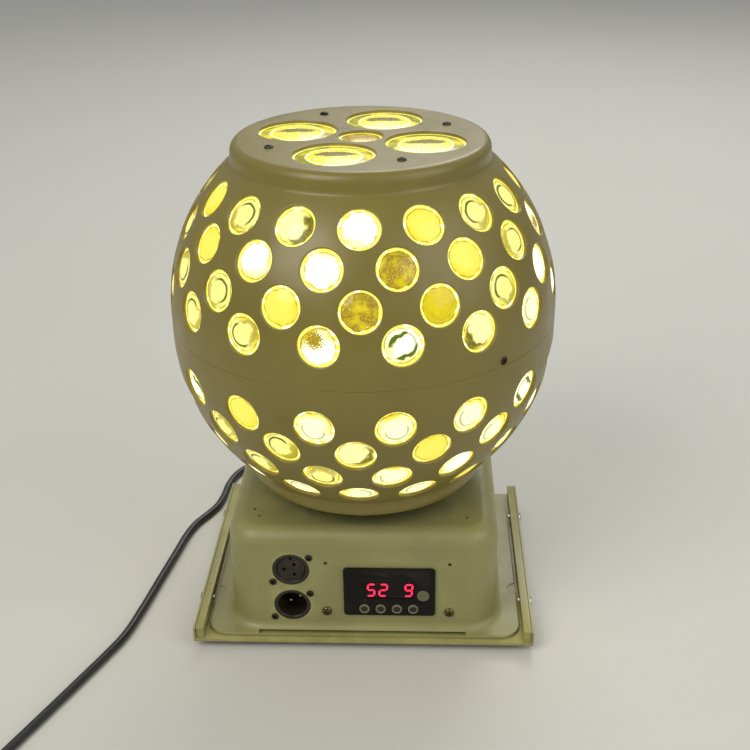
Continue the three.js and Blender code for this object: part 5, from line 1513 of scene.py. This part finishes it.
def makeTray():
    dress(softenedNode("baseTray", "base_tray", *trayEdge), "trayPaint", "base", "cream_paint", "base_tray")
    for side, sign in (("left", -1), ("right", 1)):
        bar = softenedNode("sideRail" + side.capitalize(), "side_rail_" + side, rail["edge"])
        low, high = sorted(sign * x for x in rail["side"])
        ends = [
            block("railEnd", (low, y, rail["low"]), (high, y + rail["thickness"], rail["high"]))
            for y in rail["ends"]]
        dress(joinMeshes(bar.name, [bar] + ends), "trayPaint", "base", "cream_paint", "side_rail_" + side)
    for side, sign in (("left", -1), ("right", 1)):
        places = [((sign * rail["screwX"], y, rail["screwZ"]), y) for y in rail["screwY"]]
        nodes = ["rail_screw_" + side + end for end in ("_front", "_rear")]
        name = "railScrews" + side.capitalize()
        turnedScrews(name, "railScrew", places, (sign, 0, 0), "chromeSteel", rail["turn"], *nodes)
    places = [((x, y, 0), Matrix.Identity(3)) for x, y in foot["places"]]
    rubber = lathe("rubberFoot", foot["profile"])
    dressCopies("rubberFeet", rubber, places, "footRubber", "base", "rubber", *numbered("rubber_foot_", 4))


makeTray()
print("tray, rails and feet made")

socket = {
    "latchEdge": 0.35, "keyEdge": 0.25, "pinStep": 120, "front": -77.0, "rear": -50.0, "barrel": 11.8,
    "bore": 9.4, "flange": (15.5, 12.5), "flangeY": (-74.2, -72.2), "flangeEdge": 0.5, "holeIn": 0.6,
    "holeY": (-80, -70), "pinCircle": 4.4, "lift": 0.02, "screwTurn": 0.4,
    "rim": [(9.4, 0.9), (9.65, 0.35), (10.2, 0), (11.2, 0), (11.65, 0.25), (11.8, 0.8)],
    "insert": [(0, 0.55), (7.2, 0.55), (7.45, 0.95), (7.95, 0.95), (8.2, 0.55), (8.9, 0.6), (9.1, 0.9)],
    "insertEnd": [(9.1, -0.5), (0, -0.5)], "contactHole": (1.25, -2, 5.5),
    "keySlot": ((-1.1, -2, 7.4), (1.1, 4, 9.5)), "latch": ((-3.2, 0.15, -9.0), (3.2, 1.4, -7.6)),
    "carrier": [(0, -7.5), (1.5, -7.5), (8.6, -7.5), (9.1, -7.0), (9.1, -0.5), (0, -0.5)],
    "key": ((-0.9, 3, 8.2), (0.9, 21, 9.45)),
    "pin": [(0, 9.5), (0.55, 9.6), (1.0, 10.0), (1.2, 10.8), (1.2, 21), (0, 21)],
}


def fromFront(profile):
    return [(r, socket["front"] + y) for r, y in profile]


def fromRear(profile):
    return [(r, socket["rear"] + y) for r, y in profile]


def socketBlock(name, corners, z):
    return block(name, *((socketX + dx, socket["front"] + dy, z + dz) for dx, dy, dz in corners))


def makeSocketBody(name, z):
    profile = fromFront(socket["rim"]) + fromRear([(socket["barrel"], 0), (socket["bore"], 0)])
    body = latheY("barrel", profile, socketX, z)
    (wide, tall), (front, rear) = socket["flange"], socket["flangeY"]
    back = block("socketFlange", (socketX - wide, front, z - tall), (socketX + wide, rear, z + tall))
    cuts = [barY("bore", socket["barrel"] - socket["holeIn"], *socket["holeY"], socketX, z)]
    cuts += [barY("rivetHole", rivet["hole"], *socket["holeY"], *spot) for spot in rivetPlaces([z])]
    cutBy(soften(back, socket["flangeEdge"]), cuts)
    whole = shade(joinMeshes(name + "SocketBody", [body, back]))
    dress(whole, "socketBlack", "base", "black_plastic", name + "_socket_body")


def makeFemaleInsert(z, turns):
    front, circle = socket["front"], socket["pinCircle"]
    radius, low, high = socket["contactHole"]
    profile = fromFront(socket["insert"]) + fromRear(socket["insertEnd"])
    insert = latheY("femaleSocketInsert", profile, socketX, z)
    spots = [(socketX - circle * math.cos(a), z + circle * math.sin(a)) for a in turns]
    holes = [barY("contactHole", radius, front + low, front + high, *spot) for spot in spots]
    cutBy(insert, holes + [socketBlock("keySlot", socket["keySlot"], z)])
    latch = soften(socketBlock("latch", socket["latch"], z), socket["latchEdge"])
    whole = shade(joinMeshes("femaleSocketInsert", [insert, latch]))
    dress(whole, "socketBlack", "base", "black_plastic", "female_socket_insert")


def makeMaleInsert(z, turns):
    insert = latheY("maleSocketCarrier", fromRear(socket["carrier"]), socketX, z)
    key = soften(socketBlock("key", socket["key"], z), socket["keyEdge"])
    whole = shade(joinMeshes("maleSocketCarrier", [insert, key]))
    dress(whole, "socketBlack", "base", "black_plastic", "male_socket_contacts")
    spots = [polar(socket["pinCircle"], a, socketX, z) for a in turns]
    places = [((x, 0, z), facing((0, 1, 0)).to_3x3()) for x, z in spots]
    pin = lathe("contactPin", fromFront(socket["pin"]))
    dressCopies("contactPins", pin, places, "pinBrass", "base", "steel")


def makeSockets():
    turns = [math.radians(socket["pinStep"] * k) for k in range(3)]
    for z, name, makeInsert in zip(socketRows, ("female", "male"), (makeFemaleInsert, makeMaleInsert)):
        makeSocketBody(name, z)
        makeInsert(z, turns)
    y = socket["front"] - socket["lift"]
    places = [((x, y, z), facing((0, -1, 0)).to_3x3()) for x, z in rivetPlaces(socketRows)]
    head, nodes = lathe("socketRivet", rivet["profile"]), numbered("socket_rivet_", 4)
    dressCopies("socketRivets", head, places, "rivetBlack", "base", "dark_steel", *nodes)
    places = [((x, y, panelScrewZ), x) for x in panelScrewX]
    nodes = ("panel_screw_left", "panel_screw_right")
    turnedScrews("panelScrews", "panelScrew", places, (0, -1, 0), "dullSteel", socket["screwTurn"], *nodes)


makeSockets()
print("sockets, rivets and panel screws made")

panel = {
    "outline": (-12.5, 47.5, 22.3, 59.7), "front": -78.5, "rear": -77.3, "corner": 2.4, "edge": (0.22, 2, 50),
    "sharpAngle": 40, "cut": (-82, -75), "buttonHole": 3.7, "microphoneHole": 4.3, "cornerSteps": 5,
}
display = {
    "glassEdge": 0.2, "outline": (1.5, 33.5, 36.0, 49.0), "corner": 0.6, "glassInset": 0.3,
    "glassCorner": 0.5, "glassY": (-78.2, -66.8),
    "places": ((5.2, "afgcd"), (13.1, "abged"), (29.7, "abcdfg")), "baseline": 38.0, "width": 4.6,
    "height": 9.0, "bar": 1.1, "gapShare": 0.28, "slant": 0.09, "digitY": (-78.26, -78.12),
    "tints": ((255, 8, 52), (255, 40, 86)), "cloud": (900.0, 2.0), "strength": 2.2, "roughness": 0.4,
}
button = {
    "x": (1.0, 11.7, 22.4, 33.1), "z": 27.8,
    "ring": [
        (2.35, -79.1), (2.55, -79.35), (3.15, -79.4), (3.4, -79.1), (3.4, -77.0), (4.1, -77.0), (4.1, -76.1),
        (2.0, -76.1), (2.0, -67.7), (0, -67.7), (0, -78.7), (2.3, -78.7)],
    "dot": [(0, -79.1), (1.7, -79.05), (2.25, -78.9), (2.25, -78.72), (0, -78.72)],
}
microphone = {
    "place": (39.6, 38.4), "hole": 0.35, "holeY": (-80, -78.2), "holeRings": ((0.0, 1), (1.5, 6), (2.7, 10)),
    "profile": [
        (0, -78.75), (3.2, -78.75), (3.45, -78.9), (3.8, -78.9), (4.0, -78.65), (4.0, -77.3), (3.0, -77.3),
        (3.0, -66.8), (0, -66.8)],
}


def slab(name, outline, front, rear, corner):  # a plate with rounded corners
    ring = roundedBox(*outline, corner, panel["cornerSteps"])
    return loftRows(name, [[(x, y, z) for x, z in ring] for y in (front, rear)])


def makeGlowDigit():
    made, tree, principled = newMaterial("redSegments")
    glowing = objectPlace(tree).noise(*display["cloud"]).mix(*(rgb(*tint) for tint in display["tints"]))
    values = {"Emission Color": glowing, "Base Color": glowing, "Emission Strength": display["strength"]}
    setInputs(tree, principled, {**values, "Roughness": display["roughness"]})
    return made


def makeDigits():
    w, h, bar, base = (display[key] for key in ("width", "height", "bar", "baseline"))
    middle, upper, lower = w / 2, h * 3 / 4, h / 4
    bars = {
        "a": (middle, h, 0), "b": (w, upper, 1), "c": (w, lower, 1), "d": (middle, 0, 0),
        "e": (0, lower, 1), "f": (0, upper, 1), "g": (middle, h / 2, 0)}
    bm = bmesh.new()
    for left, lit in display["places"]:
        for x, z, upright in (bars[key] for key in lit):
            half, b = (h / 2 if upright else w) / 2 - bar * display["gapShare"], bar / 2
            corners = [(-half, 0), (b - half, -b), (half - b, -b), (half, 0), (half - b, b), (b - half, b)]
            if upright:
                corners = [(-v, u) for u, v in corners]
            spots = [(x + dx, z + dz) for dx, dz in corners]
            spots = [(left - middle + px + display["slant"] * pz, base + pz) for px, pz in spots]
            rings = [addPoints(bm, [(px, y, pz) for px, pz in spots]) for y in display["digitY"]]
            for ring in rings:
                bm.faces.new(ring)
            bridge(bm, *rings)
    finishes["redSegments"] = makeGlowDigit()
    dress(objectFromBmesh("displayDigits", bm), "redSegments", "base", "gloss_black")


def makeButton(name, x):
    body, node = "button_" + name, "menu_button_" + name
    cap, dot = (
        shade(latheY(piece + name, button[key], x, button["z"], sides[piece]))
        for piece, key in (("menuButton", "ring"), ("menuButtonDot", "dot")))
    dress(cap, "buttonGrey", body, "grey_plastic", node)
    dress(dot, "socketBlack", body, "black_plastic")


def makeMicrophone():
    x, z = microphone["place"]
    capsule = latheY("microphoneCapsule", microphone["profile"], x, z)
    spots = [polar(r, a, x, z) for r, count in microphone["holeRings"] for a in circleTurns(count)]
    cutBy(capsule, [barY("soundHole", microphone["hole"], *microphone["holeY"], *spot) for spot in spots])
    dress(shade(capsule), "buttonGrey", "base", "grey_plastic", "microphone")


def makePanel():
    plate = slab("displayPanel", panel["outline"], panel["front"], panel["rear"], panel["corner"])
    tools = [slab("window", display["outline"], *panel["cut"], display["corner"])]
    tools += [barY("buttonHole", panel["buttonHole"], *panel["cut"], x, button["z"]) for x in button["x"]]
    tools.append(barY("microphoneHole", panel["microphoneHole"], *panel["cut"], *microphone["place"]))
    plate = shade(soften(cutBy(plate, tools), *panel["edge"]), panel["sharpAngle"])
    dress(plate, "panelGloss", "base", "gloss_black", "display_panel")
    (left, right, low, high), inset = display["outline"], display["glassInset"]
    outline = (left + inset, right - inset, low + inset, high - inset)
    glass = slab("displayGlass", outline, *display["glassY"], display["glassCorner"])
    dress(shade(soften(glass, display["glassEdge"])), "displayGlass", "base", "gloss_black", "display_module")
    makeDigits()
    for i, x in enumerate(button["x"]):
        makeButton(str(i + 1), x)
    makeMicrophone()


makePanel()
print("control panel made")

fuse = {
    "sharpAngle": 40, "x": -18, "z": 30, "grip": 0.7, "grips": 12, "gripCircle": 6.5, "gripY": (79.9, 84),
    "slot": ((-22.2, 81.2, 29.2), (-13.8, 84, 30.8)),
    "profile": [
        (0, 55.2), (5.6, 55.2), (6.0, 55.6), (6.0, 77.3), (7.6, 77.3), (8.0, 77.7), (8.0, 79.6), (7.2, 80.1),
        (6.4, 80.2), (6.2, 82.0), (5.8, 82.3), (0, 82.3)],
}


def makeFuseHolder():
    x, z = fuse["x"], fuse["z"]
    spots = [polar(fuse["gripCircle"], a, x, z) for a in circleTurns(fuse["grips"])]
    cuts = [block("coinSlot", *fuse["slot"])]
    cuts += [barY("grip", fuse["grip"], *fuse["gripY"], *spot) for spot in spots]
    cap = cutBy(latheY("fuseHolder", fuse["profile"], x, z), cuts)
    dress(shade(cap, fuse["sharpAngle"]), "socketBlack", "base", "black_plastic", "fuse_holder")


makeFuseHolder()

# What drives the ball and what stands inside keeps the model's own solids, with softened edges outside.
driven = (
    # The aluminium turntable plate takes the dark steel finish as painted shade for the shadowed gap under
    # the ball.
    ("turntablePlate", "turntable_plate", "darkSteel", "aluminium", "ball", 0.4),
    ("turntableBush", "turntable_bush", "oiledBronze", "bronze", "ball", 0.3),
    ("ringGear", "ring_gear", "gearNylon", "white_nylon", "ball", 0.25),
    ("motorPinion", "motor_pinion", "chromeSteel", "steel", "pinion", 0.2),
)
kept = {
    "control_board": "boardGreen", "power_supply": "spunAluminium", "stepper_motor": "darkSteel",
    "centre_post": "chromeSteel", "heat_sink": "spunAluminium", "led_wrap": "boardGreen",
    "led_top_board": "boardGreen", "seam_ring": "gearNylon",
}
for name, node, finish, slot, body, width in driven:
    dress(softenedNode(name, node, width), finish, body, slot, node)
for node, finish in kept.items():
    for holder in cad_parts[node].material_slots:
        holder.material = finishes[finish]
print("drive and inner parts dressed")
